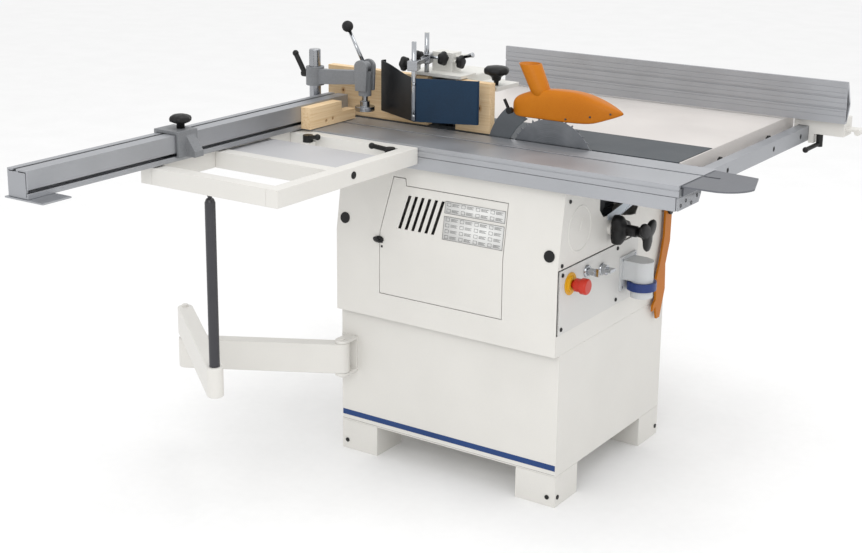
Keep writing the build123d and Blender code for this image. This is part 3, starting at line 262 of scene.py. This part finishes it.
latch_centre = front_at(-0.19, 0.612, 0.0005)
loft("door_latch", [[latch_centre + Vector((r * math.cos(t) - 0.006 * (k == 2), -h, 0.7 * r * math.sin(t)))
                     for t in [math.tau * i / 20 for i in range(20)]]
                    for k, (h, r) in enumerate(((0, 0.013), (0.004, 0.013), (0.006, 0.011), (0.011, 0.005)))],
     black_moulding, "machine", 0.0005)
printed("latch_pins", [(-0.1855, -0.1805, 0.5915, 0.5965), (-0.1855, -0.1805, 0.6035, 0.6085)],
        0.0015, 0.002, black_moulding, "machine")

# Two printed notices sit on the door: a light card with a thin frame and rows of plain marks.
card_white = sprayed("card_white", "DEDEDC", "E3E3E1", (0.25, 0.35), 0.5)
ink_grey = sprayed("ink_grey", "6A6A6A", "7C7C7C", (0.5, 0.6))
cards = [(-0.002, 0.172, 0.707, 0.737), (-0.002, 0.172, 0.642, 0.700)]
printed("notice_cards", cards, 0.0009, 0.0012, card_white, "door")
frame_line, box_line = 0.0009, 0.0008
box_wide, box_half, column_step, bar_start = 0.011, 0.0042, 0.042, 0.015


def hollow_box(x0, x1, z0, z1, line):
    """Four bars round a rectangle, as the frame of a notice or of one of its boxes."""
    rails = [(x0, x1, z0, z0 + line), (x0, x1, z1 - line, z1)]
    return rails + [(x0, x0 + line, z0, z1), (x1 - line, x1, z0, z1)]


marks = []
for x0, x1, z0, z1 in cards:
    marks += hollow_box(x0, x1, z0, z1, frame_line)
    rows = 2 if z1 - z0 < 0.04 else 4
    for row in range(rows):
        level = z0 + (row + 0.5) * (z1 - z0) / rows
        for column in range(4):
            left = x0 + 0.006 + column * column_step
            marks += hollow_box(left, left + box_wide, level - box_half, level + box_half, box_line)
            marks += [(left + bar_start, left + bar_start + run, level + drop, level + drop + 0.001)
                      for run, drop in ((0.02, 0.002), (0.016, -0.0005), (0.019, -0.003))]
printed("notice_marks", marks, 0.0012, 0.0006, ink_grey, "door")

# ------------------------------------------------------------------ tilt cover and scale
# A pressed steel cover closes the operator's end over the tilt gear. A curved window shows
# the pointer, and a pale scale with plain ticks is stuck below it.
dress(powder_white, "tilt_cover")
cover_face = base_high.x + 0.0004
scale_card = sprayed("scale_card", "B9C3CC", "C6CFD7", (0.3, 0.4), 0.5)
scale_outline = [(-0.062, 0.690), (-0.026, 0.682), (0.100, 0.706), (0.104, 0.716), (0.062, 0.728),
                 (0.020, 0.716), (-0.064, 0.704)]
cut_sheet("tilt_scale", scale_outline, (cover_face, cover_face + 0.0008), "end", scale_card, "machine",
          0.0001)
scale_centre, scale_radius = Vector((cover_face, -0.012, 0.842)), 0.150
tick_points, tick_faces = [], []
for mark in range(31):
    turn = math.radians(200 + mark * 3) + 1.05
    spoke = Vector((0, math.cos(turn), math.sin(turn)))
    foot = scale_centre + spoke * scale_radius
    if not (-0.062 < foot.y < 0.096 and 0.676 < foot.z < 0.722):
        continue
    across = Vector((0, -spoke.z, spoke.y)) * 0.0005
    length = 0.006 if mark % 5 else 0.011
    tick_faces += bar_faces(len(tick_points))
    for level in (0.0007, 0.0012):
        base = foot + Vector((level, 0, 0))
        tip = base + spoke * length
        tick_points += [base - across, base + across, tip + across, tip - across]
piece_of("scale_ticks", tick_points, tick_faces, ink_grey, "machine")

# ------------------------------------------------------------------ hand knobs
# The rise crank and the tilt lock are black moulded three-lobed knobs on one axis. Their
# lobes swell from a slim waist, and the rims are rounded over for the hand.


def circle(centre, axis, radius, count=40, lobes=0, swing=0.0, turn=0.0):
    """Points round an axis. With lobes the radius swings in and out, as on a hand knob's rim."""
    up = Vector(axis).normalized()
    side = Vector((0, 0, 1)).cross(up) if abs(up.z) < 0.9 else Vector((1, 0, 0))
    side.normalize()
    other = up.cross(side)
    ring = []
    for i in range(count):
        angle = math.tau * i / count
        reach = radius * (1 - swing + swing * math.cos(lobes * angle))
        angle += math.radians(turn)
        ring.append(Vector(centre) + side * reach * math.cos(angle) + other * reach * math.sin(angle))
    return ring


def lathe(name, profile, base, axis, finish, body, count=40, lobes=0, swing=0.0, turn=0.0, edge=0.0):
    """A turned piece from (height, radius) pairs along an axis, or a lobed one."""
    up = Vector(axis).normalized()
    rings = [circle(Vector(base) + up * height, up, radius, count, lobes, swing if lobed else 0.0, turn)
             for height, radius, lobed in [(*p, True) if len(p) == 2 else p for p in profile]]
    return loft(name, rings, finish, body, edge)


crank_low, crank_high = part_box("rise_crank")
crank_axis = Vector((base_high.x, (crank_low.y + crank_high.y) / 2, 0.666))
crank_profile = [(0.008, 0.020), (0.010, 0.034), (0.014, 0.041), (0.024, 0.0425), (0.034, 0.040),
                 (0.040, 0.030), (0.043, 0.017), (0.048, 0.0145, False), (0.070, 0.014, False),
                 (0.0722, 0.010, False)]
crank = lathe("crank_knob", crank_profile, crank_axis, (1, 0, 0), black_moulding, "crank",
              72, 3, 0.2)
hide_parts("rise_crank")
lathe("crank_shaft", [(-0.018, 0.006), (0.012, 0.006)], crank_axis, (1, 0, 0), black_moulding,
      "crank", 24)
lock_profile = [(0.0726, 0.012, False), (0.086, 0.0135, False), (0.091, 0.026), (0.095, 0.043),
                (0.100, 0.0462), (0.104, 0.044), (0.107, 0.034), (0.1082, 0.012)]
lock = lathe("tilt_lock", lock_profile, crank_axis, (1, 0, 0), black_moulding, "tilt_lock",
             72, 3, 0.26, 30)
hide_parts("tilt_lock_knob")

# ------------------------------------------------------------------ switch panel
# The panel is satin sheet with a mushroom stop button on a yellow disc, a key switch and a
# turn switch in chromed bezels, and a grey mains inlet with a blue bayonet ring.
panel_grey = sprayed("panel_grey", "CAC9C6", "D1D0CD", (0.36, 0.5), 0.4)
dress(panel_grey, "control_panel")
stop_red = sprayed("stop_red", "B01E06", "BE280C", (0.25, 0.36), 0.4, coat=0.15)
dress(stop_red, "estop_button")
stop_yellow = sprayed("stop_yellow", "D39A10", "DBA61A", (0.4, 0.5))
dress(stop_yellow, "estop_collar")


def machined(name, dark, light, gloss, stretch, metal=0.95, size=34, depth=0.00002):
    """Bare metal with fine lines along the way it was drawn, ground or turned."""
    finish = Finish(name, metal=metal)
    lines = finish.grain(size, stretch, 4)
    cloud = finish.grain(7, detail=4)
    hair = finish.grain(size * 4, stretch, 2)
    tone = finish.ramp(finish.sum_of(cloud, 0.5, finish.sum_of(lines, 0.35, hair)), 0.3, 0.7)
    return finish.done(finish.tones(tone, dark, light), finish.ramp(cloud, 0.3, 0.7, *gloss), hair, depth)


chrome = machined("chrome", "9FA2A6", "BFC2C6", (0.08, 0.2), (1, 1, 1), 1.0, 200)
dress(chrome, "key_switch", "rotary_switch", edge=0.0006)
panel_face = base_high.x + 0.001
bezel_profile = [(0.0002, 0.0158), (0.004, 0.0158), (0.0058, 0.0140), (0.0058, 0.0105), (0.0046, 0.0101)]
for name, (y, z) in {"key_bezel": (-0.165, 0.584), "switch_bezel": (-0.086, 0.570)}.items():
    place = Vector((panel_face, y, z))
    rings = [circle(place + Vector((h, 0, 0)), (1, 0, 0), r) for h, r in bezel_profile]
    loft(name, rings, chrome, "machine", ends=False)
inlet_grey = sprayed("inlet_grey", "BEC0C1", "C8CACB", (0.36, 0.5))
dress(inlet_grey, "power_inlet")
inlet_blue = sprayed("inlet_blue", "122A64", "17316F", (0.25, 0.36), 0.45)
dress(inlet_blue, "inlet_ring")
for count, (y, z) in enumerate(((0.020, 0.494), (0.090, 0.494), (0.020, 0.568), (0.090, 0.568))):
    lathe(f"inlet_screw_{count}", [(0.0052, 0.004), (0.0072, 0.004), (0.0078, 0.0032)],
          (panel_face, y, z), (1, 0, 0), chrome, "machine", 16)

# ------------------------------------------------------------------ push stick
# The push stick is cut from an orange moulded bar with rounded edges and thin ribs, and it
# hangs from a black hook at the back corner.
guard_orange = sprayed("guard_orange", "B4660A", "C07410", (0.36, 0.5), 0.2, 420)
dress(guard_orange, "push_stick", edge=0.002)

# ------------------------------------------------------------------ fixed tables
# The centre table is ground cast iron, dark blue-grey with fine lines across its length.
# The extension is folded sheet in a slightly pinker white, and covers both ends.
ground_iron = machined("ground_iron", "40464B", "4D5358", (0.42, 0.54), (90, 1, 1), 0.55, 24)
dress(ground_iron, "cast_table", "spindle_ring", edge=0)
table_white = sprayed("table_white", "CFCAC6", "D6D1CD")
dress(table_white, "extension_table", edge=0)
lengthwise = machined("lengthwise_aluminium", "A4A6AA", "B4B6BA", (0.4, 0.5), (0.6, 90, 90), 0.75)
crosswise = machined("crosswise_aluminium", "9EA0A4", "AEB0B4", (0.4, 0.5), (90, 0.6, 90), 0.75)
dress(crosswise, "fence_rail")
rail_low, rail_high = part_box("fence_rail")
bolt_profile = [(-0.0060, 0.0062), (-0.0012, 0.0062), (-0.0004, 0.0054), (-0.0004, 0.0030), (-0.0024, 0.0026)]
for count, along in enumerate((0.050, 0.150, 0.448, 0.640)):
    lathe(f"rail_bolt_{count}", bolt_profile, (rail_high.x, rail_low.y + along + 0.001, 0.832), (1, 0, 0),
          black_moulding, "machine", 24)
for count, along in enumerate((0.075, 0.205, 0.520)):
    lathe(f"rail_nut_{count}", [(0, 0.009), (0.007, 0.009), (0.009, 0.007), (0.013, 0.005)],
          (0.5465, rail_low.y + along, 0.8365), (0, 0, 1), black_moulding, "machine",
          6, edge=0.0006)

# ------------------------------------------------------------------ sliding table
# The sliding table and the beam under it are drawn aluminium, with grooves along their
# length. Grey cast caps close the beam, each held by four recessed screws.
dress(lengthwise, "sliding_table", "slide_beam", edge=0.0006)
cast_grey = sprayed("cast_grey", "6E7073", "828487", (0.42, 0.6), 0.5, 260, 0.0004)
beam_low, beam_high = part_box("slide_beam")
cap_outline = [(-0.309, beam_low.z + 0.025), (-0.200, beam_low.z + 0.025), (-0.188, beam_high.z - 0.014),
               (-0.188, beam_high.z - 0.001), (-0.309, beam_high.z - 0.001)]
cut_sheet("beam_cap", cap_outline, (beam_high.x - 0.004, beam_high.x), "end", cast_grey, "machine",
          0.001)
for count, (y, z) in enumerate(((-0.296, 0.822), (-0.270, 0.829), (-0.240, 0.818), (-0.210, 0.829))):
    lathe(f"cap_screw_{count}", [(-0.001, 0.0045), (0.0006, 0.0045), (0.0006, 0.0028), (-0.001, 0.0024)],
          (beam_high.x, y, z), (1, 0, 0), black_moulding, "machine", 18)
carriage_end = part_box("sliding_table")[1].x
cut_sheet("carriage_cap", [(-0.3095, 0.8440), (-0.200, 0.8440), (-0.200, 0.8615), (-0.3095, 0.8615)],
          (carriage_end - 0.002, carriage_end + 0.0003), "end", cast_grey, "carriage", 0.0004)
plate_grey = machined("plate_grey", "62646A", "7E8085", (0.34, 0.48), (60, 1, 60), 0.85)
dress(plate_grey, "end_plate")

# ------------------------------------------------------------------ outrigger frame
# The frame is welded square tube in the same white paint, with a sheet shelf let into it
# and two black lever clamps that hold it to the sliding table.
dress(powder_white, "outrigger_frame", edge=0.0012)
shelf_grey = sprayed("shelf_grey", "B4B4B6", "BDBDBF", (0.36, 0.5), 0.45)
dress(shelf_grey, "frame_shelf")
dress(black_moulding, "frame_lever_left", "frame_lever_right", edge=0.002)
frame_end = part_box("outrigger_frame")[1].x
lathe("frame_plug", [(-0.001, 0.009), (0.0012, 0.009), (0.0018, 0.0075)], (frame_end, -0.576, 0.847),
      (1, 0, 0), black_moulding, "carriage", 28)

# ------------------------------------------------------------------ support arm
# Two box-section links swing from a bracket on the cabinet, and a black bar stands on the
# end of the outer one to carry the frame as it travels.
dress(powder_white, "arm_bracket", "swing_arm", "support_arm", edge=0.0014)
pole_black = sprayed("pole_black", "2A2A2E", "36363B", (0.3, 0.42), 0.5)
dress(pole_black, "support_pole")

# ------------------------------------------------------------------ squaring fence
# The fence is a drawn aluminium section with a foot plate, a pine block against
# breakout, and a flip stop clamped by a black knob.
dress(crosswise, "squaring_fence", edge=0.0006)
dress(cast_grey, "stop_saddle", edge=0.0014)


def sawn_pine(name, knots, along=(1, 26, 42)):
    """Planed pine: rings drawn out along the board, fine fibres, and a few brown knots."""
    finish = Finish(name, shine=0.3)
    rings = finish.grain(5.5, along, 5)
    fibre = finish.grain(90, tuple(a * (1 if a > 1 else 0.12) for a in along), 3)
    tone = finish.ramp(finish.sum_of(rings, 0.75, fibre), 0.38, 0.62)
    colour = finish.tones(tone, "DDBD90", "ECD2AC")
    for place, size in knots:
        far = finish.distance(place, (1.0, 1.0, 0.8))
        colour = finish.tones(finish.ramp(far, size * 1.1, size * 2.6), "CFA474", colour)
        colour = finish.tones(finish.ramp(far, size * 0.55, size), "5A3418", colour)
    return finish.done(colour, finish.ramp(rings, 0.3, 0.7, 0.5, 0.66), fibre, 0.0002)


dress(sawn_pine("block_pine", [], (26, 1, 42)), "fence_wood_block", edge=0.0012)
knob_low, knob_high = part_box("stop_knob")
stop_axis = ((knob_low.x + knob_high.x) / 2, (knob_low.y + knob_high.y) / 2, knob_low.z)
stop_profile = [(0, 0.010, False), (0.010, 0.0095, False), (0.013, 0.017), (0.017, 0.0262),
                (0.023, 0.0272), (0.028, 0.025), (0.0315, 0.018), (0.0335, 0.008)]
stop_knob = lathe("stop_clamp_knob", stop_profile, stop_axis, (0, 0, 1), black_moulding, "stop_clamp",
                  72, 6, 0.05)
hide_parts("stop_knob")

# ------------------------------------------------------------------ hold-down clamp
# A grey cast arm slides on a bright steel column. Its forked head carries a lever with a
# black ball, which presses a round pad on the work.
bright_steel = machined("bright_steel", "84868A", "B4B6BA", (0.14, 0.28), (60, 60, 1), 1.0)
dress(bright_steel, "clamp_column", "clamp_pad", edge=0.0012)
dress(cast_grey, "clamp_arm", edge=0.003)
dress(black_moulding, "clamp_lock_lever", edge=0.002)
pad_low, pad_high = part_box("clamp_pad")
pad_x, pad_y = (pad_low.x + pad_high.x) / 2, (pad_low.y + pad_high.y) / 2
fork_low, fork_round, fork_half = 0.958, 1.022, 0.0205
head_outline = [(pad_x - 0.017, fork_low), (pad_x + 0.017, fork_low), (pad_x + fork_half, fork_round)]
head_outline += [(pad_x + fork_half * math.cos(t), fork_round + 0.018 * math.sin(t))
                 for t in [math.pi * i / 10 for i in range(1, 11)]]
for name, y in (("fork_cheek_front", pad_y - 0.0215), ("fork_cheek_back", pad_y + 0.0135)):
    cut_sheet(name, head_outline, (y, y + 0.008), "front", cast_grey, "clamp", 0.0016)
hand_low, hand_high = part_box("clamp_hand_lever")
ball_radius = 0.015
lever_root = Vector((pad_x, pad_y, 1.023))
ball_centre = Vector((hand_low.x + ball_radius, pad_y, hand_high.z - ball_radius))
lever_run = (ball_centre - lever_root).normalized()
hub = lathe("lever_hub", [(-0.0118, 0.010), (-0.0118, 0.0125), (0.0118, 0.0125), (0.0118, 0.010)],
            lever_root, (0, 1, 0), cast_grey, "clamp_handle", 28, edge=0.001)
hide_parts("clamp_hand_lever")
lathe("lever_bar", [(0.008, 0.0052), ((ball_centre - lever_root).length - 0.01, 0.0044)], lever_root,
      lever_run, chrome, "clamp_handle", 24)
ball_profile = [(-ball_radius * math.cos(t), max(0.0006, ball_radius * math.sin(t)))
                for t in [math.pi * i / 14 for i in range(15)]]
lathe("lever_ball", ball_profile, ball_centre, lever_run, black_moulding, "clamp_handle",
      32)

# ------------------------------------------------------------------ rip fence
# The rip fence is a tall drawn section with shallow grooves along its face. It hangs on a
# cast carrier that rides the rail in front of the extension table.
dress(lengthwise, "rip_fence", edge=0.0006)
dress(powder_white, "rip_carrier", edge=0.0014)
dress(black_moulding, "rip_lock_lever", edge=0.002)

# ------------------------------------------------------------------ shaper boards and hood
# Two pine boards face the spindle. Behind them stands a white cast hood with a raised boss
# that holds the presser's bright post, clamped by black lobed knobs.
dress(sawn_pine("left_board_pine", [((-0.471, -0.09, 0.935), 0.0035), ((-0.252, -0.09, 0.982), 0.0025)]),
      "fence_board_left", edge=0.0012)
dress(sawn_pine("right_board_pine", [((-0.036, -0.09, 0.934), 0.004)]), "fence_board_right", edge=0.0012)
hood_white = sprayed("hood_white", "D3D2CC", "DCDBD6", (0.4, 0.55), 0.3, 240, 0.0002)
dress(hood_white, "shaper_hood", edge=0.003)
post_x, post_y = -0.200, -0.088
lathe("rear_post", [(1.0045, 0.0063), (1.1143, 0.0063), (1.1149, 0.0052)], (post_x, post_y, 0),
      (0, 0, 1), chrome, "machine", 28)
boss_side = Vector((-0.146, -0.028, 1.046))
cross_run = Vector((0.050, 0, 0.012)).normalized()
lathe("cross_rod", [(0.0, 0.0054), (0.047, 0.0054), (0.0472, 0.0066), (0.0515, 0.0066), (0.0520, 0.005)],
      boss_side, cross_run, chrome, "machine", 24)


def small_knob(name, base, axis, radius, body):
    """A small black five-lobed clamping knob on a short neck."""
    neck = [(0, 0.0046, False), (0.006, 0.0046, False)]
    rim = [(0.0075, radius * 0.6), (0.010, radius * 0.96), (0.0155, radius), (0.019, radius * 0.93),
           (0.0215, radius * 0.55)]
    lathe(name, neck + rim, base, axis, black_moulding, body, 60, 5, 0.07)


small_knob("boss_knob", (-0.1395, -0.040, 1.038), (1, 0, 0), 0.0185, "machine")
mushroom_low, mushroom_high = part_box("hood_knob")
mushroom_x, mushroom_y = (mushroom_low.x + mushroom_high.x) / 2, (mushroom_low.y + mushroom_high.y) / 2
mushroom_profile = [(0, 0.006, False), (0.011, 0.0065, False), (0.013, 0.011, False),
                    (0.022, 0.0135, False), (0.027, 0.021), (0.030, 0.0305), (0.036, 0.0332),
                    (0.043, 0.0325), (0.048, 0.027), (0.0507, 0.012)]
mushroom = lathe("hood_clamp_knob", mushroom_profile, (mushroom_x, mushroom_y, mushroom_low.z), (0, 0, 1),
                 black_moulding, "hood_clamp", 72, 8, 0.02)
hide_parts("hood_knob")

# ------------------------------------------------------------------ presser
# A small bright post and cross clamps carry two bent navy steel plates that press the work
# and shield the cutter. Their outer edges are rolled, and two rivets hold them to the post.
clamp_level = 1.048
rear_post, front_post = Vector((post_x, post_y, clamp_level)), Vector((-0.160, -0.205, clamp_level))
bar_run = (front_post - rear_post).normalized()
bar_side = Vector((0, 0, 1)).cross(bar_run)


def clamp_block(name, centre, half_long, half_wide, half_high):
    """A milled block with its long side on the presser's bar."""
    rings = [[centre + bar_run * along + bar_side * half_wide * a + Vector((0, 0, half_high * b))
              for a, b in ((-1, -1), (1, -1), (1, 1), (-1, 1))] for along in (-half_long, half_long)]
    return loft(name, rings, bright_steel, "presser_carrier", 0.0022)


rear_block = clamp_block("rear_clamp_block", rear_post, 0.0175, 0.0135, 0.0128)
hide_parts("presser_arm")
clamp_block("front_clamp_block", front_post, 0.0175, 0.0135, 0.0128)
clamp_block("presser_bar", (rear_post + front_post) / 2, 0.052, 0.006, 0.006)
small_knob("presser_knob_1", (-0.1735, -0.207, 1.050), (-1, 0, 0), 0.0195, "presser_carrier")
small_knob("presser_knob_2", (-0.1750, -0.158, 1.053), (-0.5, 0.1, 0.8), 0.0165, "presser_carrier")
small_knob("presser_knob_3", (-0.2120, -0.090, 1.048), (-1, 0, 0), 0.0185, "presser_carrier")
lathe("knob_stud", [(0, 0.0042), (0.026, 0.0042)], (-0.188, -0.084, 1.051), (1, -0.1, 0), chrome,
      "presser_carrier", 18)
small_knob("presser_knob_4", (-0.1640, -0.0862, 1.051), (1, -0.1, 0), 0.0195, "presser_carrier")
guard_navy = sprayed("guard_navy", "0B2438", "10304A", (0.3, 0.4), 0.25, 300, 0.00005)
# The left plate is the same navy steel as the right one. Its near-black colour is painted shade for the side
# turned away from the light.
guard_navy_painted_shade = sprayed("guard_navy_painted_shade", "0D0F12", "15181C", (0.3, 0.42), 0.3)
front_post = Vector((front_post.x, front_post.y, 0))
wing_low, wing_high = 0.903, 1.015


def wing(name, tip, rise, curl, finish):
    """One bent plate from the post to its rolled outer edge, whose top edge sweeps up by rise."""
    run = Vector((tip[0], tip[1], 0)) - front_post
    out = run.normalized()
    back = Vector((0, 0, 1)).cross(out) * (1 if out.x > 0 else -1)
    path = [front_post + out * (run.length - curl) * i / 12 for i in range(13)]
    turns = [math.pi * i / 12 for i in range(1, 9)]
    path += [path[-1] + out * curl * math.sin(t) + back * curl * (1 - math.cos(t)) for t in turns]
    rings = []
    for i, p in enumerate(path):
        share = min(1.0, i / 12)
        top = wing_high + rise * share * share * (3 - 2 * share)
        rings.append([Vector((p.x, p.y, wing_low + (top - wing_low) * k / 6)) for k in range(7)])
    plate = loft(name, rings, finish, "presser", closed=False, ends=False)
    thick = plate.modifiers.new("thick", "SOLIDIFY")
    thick.thickness = 0.0022
    thick.offset = 0
    ease(plate, 0.0005)
    return plate


right_wing = wing("right_wing", (-0.004, -0.146), 0.0, 0.006, guard_navy)
# The left plate takes the navy colour darkened with painted shade.
wing("left_wing", (-0.322, -0.127), 0.021, 0.012, guard_navy_painted_shade)
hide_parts("presser_guard")
lathe("front_post", [(0.907, 0.0062), (1.1074, 0.0062), (1.108, 0.005)], front_post, (0, 0, 1), chrome,
      "presser", 28)
for count, z in enumerate((0.919, 1.001)):
    lathe(f"wing_rivet_{count}", [(0, 0.0042), (0.0042, 0.0042), (0.0056, 0.0028), (0.006, 0.001)],
          (front_post.x + 0.004, front_post.y - 0.0035, z), (0.1, -1, 0), chrome, "presser", 18)

# ------------------------------------------------------------------ spindle
# The spindle turns in a cast quill under the table, with spacing rings on its upper end.
dress(bright_steel, "spindle_shaft", edge=0.0004)
machine_grey = sprayed("machine_grey", "34383C", "42474B", (0.45, 0.6), 0.4, 300, 0.0002)
dress(machine_grey, "spindle_quill", "tilt_frame", "saw_slide", "saw_motor", "motor_pulley")

# ------------------------------------------------------------------ saw
# The blade is a bright ground steel plate with carbide tips, on a steel arbor. The riving
# knife stands behind it and carries the guard.
blade_low, blade_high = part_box("saw_blade")
blade_centre = Vector(((blade_low.x + blade_high.x) / 2, -0.1, (blade_low.z + blade_high.z) / 2))
saw_steel = Finish("saw_steel", metal=1.0)
rings_out = saw_steel.distance(blade_centre)
ring_lines = saw_steel.nodes.new("ShaderNodeTexNoise")
ring_lines.noise_dimensions = "1D"
ring_lines.inputs["Scale"].default_value = 900
saw_steel.link(rings_out, ring_lines.inputs["W"])
cloud = saw_steel.grain(12, detail=4)
steel_tone = saw_steel.ramp(saw_steel.sum_of(cloud, 0.5, ring_lines.outputs["Fac"]), 0.35, 0.65)
blade_colour = saw_steel.tones(steel_tone, "6C6F73", "9A9DA1")
blade_gloss = saw_steel.ramp(cloud, 0.3, 0.7, 0.26, 0.4)
dress(saw_steel.done(blade_colour, blade_gloss, ring_lines.outputs["Fac"], 0.00004), "saw_blade", edge=0)
knife_steel = machined("knife_steel", "666A6E", "7A7E82", (0.34, 0.46), (1, 60, 60), 0.85)
dress(knife_steel, "riving_knife", edge=0.0004)
dress(bright_steel, "saw_arbor")

# ------------------------------------------------------------------ blade guard
# The guard is an orange moulded shell, open below, with a round dust spout behind. A small
# black lever clamps it to the riving knife.
# Each station of the guard has its x, its lower edge, its top and its half width.
guard_stations = [(0.078, 0.955, 0.971, 0.012), (0.084, 0.944, 0.979, 0.022), (0.093, 0.936, 0.987, 0.027),
                  (0.114, 0.935, 0.996, 0.0275), (0.140, 0.935, 1.003, 0.0275),
                  (0.165, 0.935, 1.008, 0.0275), (0.195, 0.935, 1.0105, 0.0275),
                  (0.225, 0.935, 1.0112, 0.0275), (0.255, 0.9355, 1.0105, 0.0275),
                  (0.285, 0.937, 1.0065, 0.0275), (0.310, 0.940, 0.9995, 0.026),
                  (0.332, 0.948, 0.992, 0.022), (0.352, 0.9555, 0.984, 0.0165),
                  (0.368, 0.9615, 0.9765, 0.009), (0.3785, 0.967, 0.971, 0.003)]
sections = []
for x, low, high, half in guard_stations:
    ring = []
    for k in range(25):
        t = math.pi * k / 24
        across, up = math.cos(t), math.sin(t)
        wall = half * math.copysign(abs(across) ** 0.22, across) * (1 - 0.3 * up ** 4)
        ring.append(Vector((x, blade_centre.y + wall, low + (high - low) * up ** 0.6)))
    sections.append(ring)
shell = loft("guard_shell", sections, guard_orange, "guard", closed=False, ends=False)
shell_wall = shell.modifiers.new("wall", "SOLIDIFY")
shell_wall.thickness = 0.0026
shell_wall.offset = -1
smooth = shell.modifiers.new("smooth", "SUBSURF")
smooth.levels = smooth.render_levels = 1
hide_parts("blade_guard")
spout_foot, spout_mouth = Vector((0.157, -0.1, 0.985)), Vector((0.1175, -0.1, 1.0668))
spout_run = (spout_mouth - spout_foot).normalized()
spout_length = (spout_mouth - spout_foot).length
spout_profile = [(0.0, 0.0262), (spout_length * 0.3, 0.0268), (spout_length - 0.001, 0.0290),
                 (spout_length, 0.0286), (spout_length, 0.0266), (spout_length * 0.3, 0.0246),
                 (0.020, 0.0240)]
lathe("guard_spout", spout_profile, spout_foot, spout_run, guard_orange, "guard", 48)
rivet_places = [(0.236, 0.0272, 0.944), (0.302, 0.0262, 0.957), (0.352, 0.0162, 0.968)]
for count, (x, half, z) in enumerate(rivet_places):
    lathe(f"guard_rivet_{count}", [(0, 0.0026), (0.0012, 0.0026), (0.0018, 0.0018)],
          (x, blade_centre.y - half, z), (0, -1, 0), machine_grey, "guard", 14)
dress(black_moulding, "guard_lever", edge=0.001)

# ------------------------------------------------------------------ floor, light and camera
# A pale studio floor that runs up to a white surround, with one large soft light in front
# and one overhead.
reach = 14.0
floor_mesh = bpy.data.meshes.new("studio_floor")
floor_mesh.from_pydata([(-reach, -reach, 0), (reach, -reach, 0), (reach, reach, 0), (-reach, reach, 0)],
                       [], [(0, 1, 2, 3)])
floor_mesh.materials.append(sprayed("floor_white", "F4F4F4", "F7F7F7", (0.8, 0.9), 0.0, 40, 0.0))
floor = bpy.data.objects.new("studio_floor", floor_mesh)
bpy.context.scene.collection.objects.link(floor)

surround = bpy.data.worlds.new("surround")
bpy.context.scene.world = surround
surround.use_nodes = True
surround.node_tree.nodes["Background"].inputs["Color"].default_value = (1, 1, 1, 1)
surround.node_tree.nodes["Background"].inputs["Strength"].default_value = 1.0


def softbox(name, place, aim, size, power):
    """A square area light that looks at a point."""
    lamp = bpy.data.lights.new(name, "AREA")
    lamp.shape = "RECTANGLE"
    lamp.size, lamp.size_y = size
    lamp.energy = power
    holder = bpy.data.objects.new(name, lamp)
    bpy.context.scene.collection.objects.link(holder)
    holder.location = place
    holder.rotation_euler = (Vector(aim) - Vector(place)).to_track_quat("-Z", "Y").to_euler()


softbox("key_light", (1.5, -4.2, 3.0), (0.0, -0.2, 0.7), (2.6, 2.0), 45)
softbox("top_light", (0.6, 0.4, 4.2), (0.0, -0.2, 0.8), (2.4, 2.4), 35)

view_azimuth, view_fall, view_roll = map(math.radians, (33.815, 14.685, -0.567))
ahead = Vector((-math.sin(view_azimuth) * math.cos(view_fall), math.cos(view_azimuth) * math.cos(view_fall),
                -math.sin(view_fall)))
level_view = ahead.to_track_quat("-Z", "Y").to_matrix()
lens = bpy.data.cameras.new("camera")
lens.lens = 62.835
lens.sensor_width = 36
lens.shift_y = -0.08
lens.clip_end = 60
camera = bpy.data.objects.new("camera", lens)
bpy.context.scene.collection.objects.link(camera)
camera.location = (1.9703, -3.3017, 1.6627)
camera.rotation_mode = "QUATERNION"
camera.rotation_quaternion = (Matrix.Rotation(view_roll, 3, ahead) @ level_view).to_quaternion()
bpy.context.scene.camera = camera
bpy.context.scene.view_settings.view_transform = "Standard"
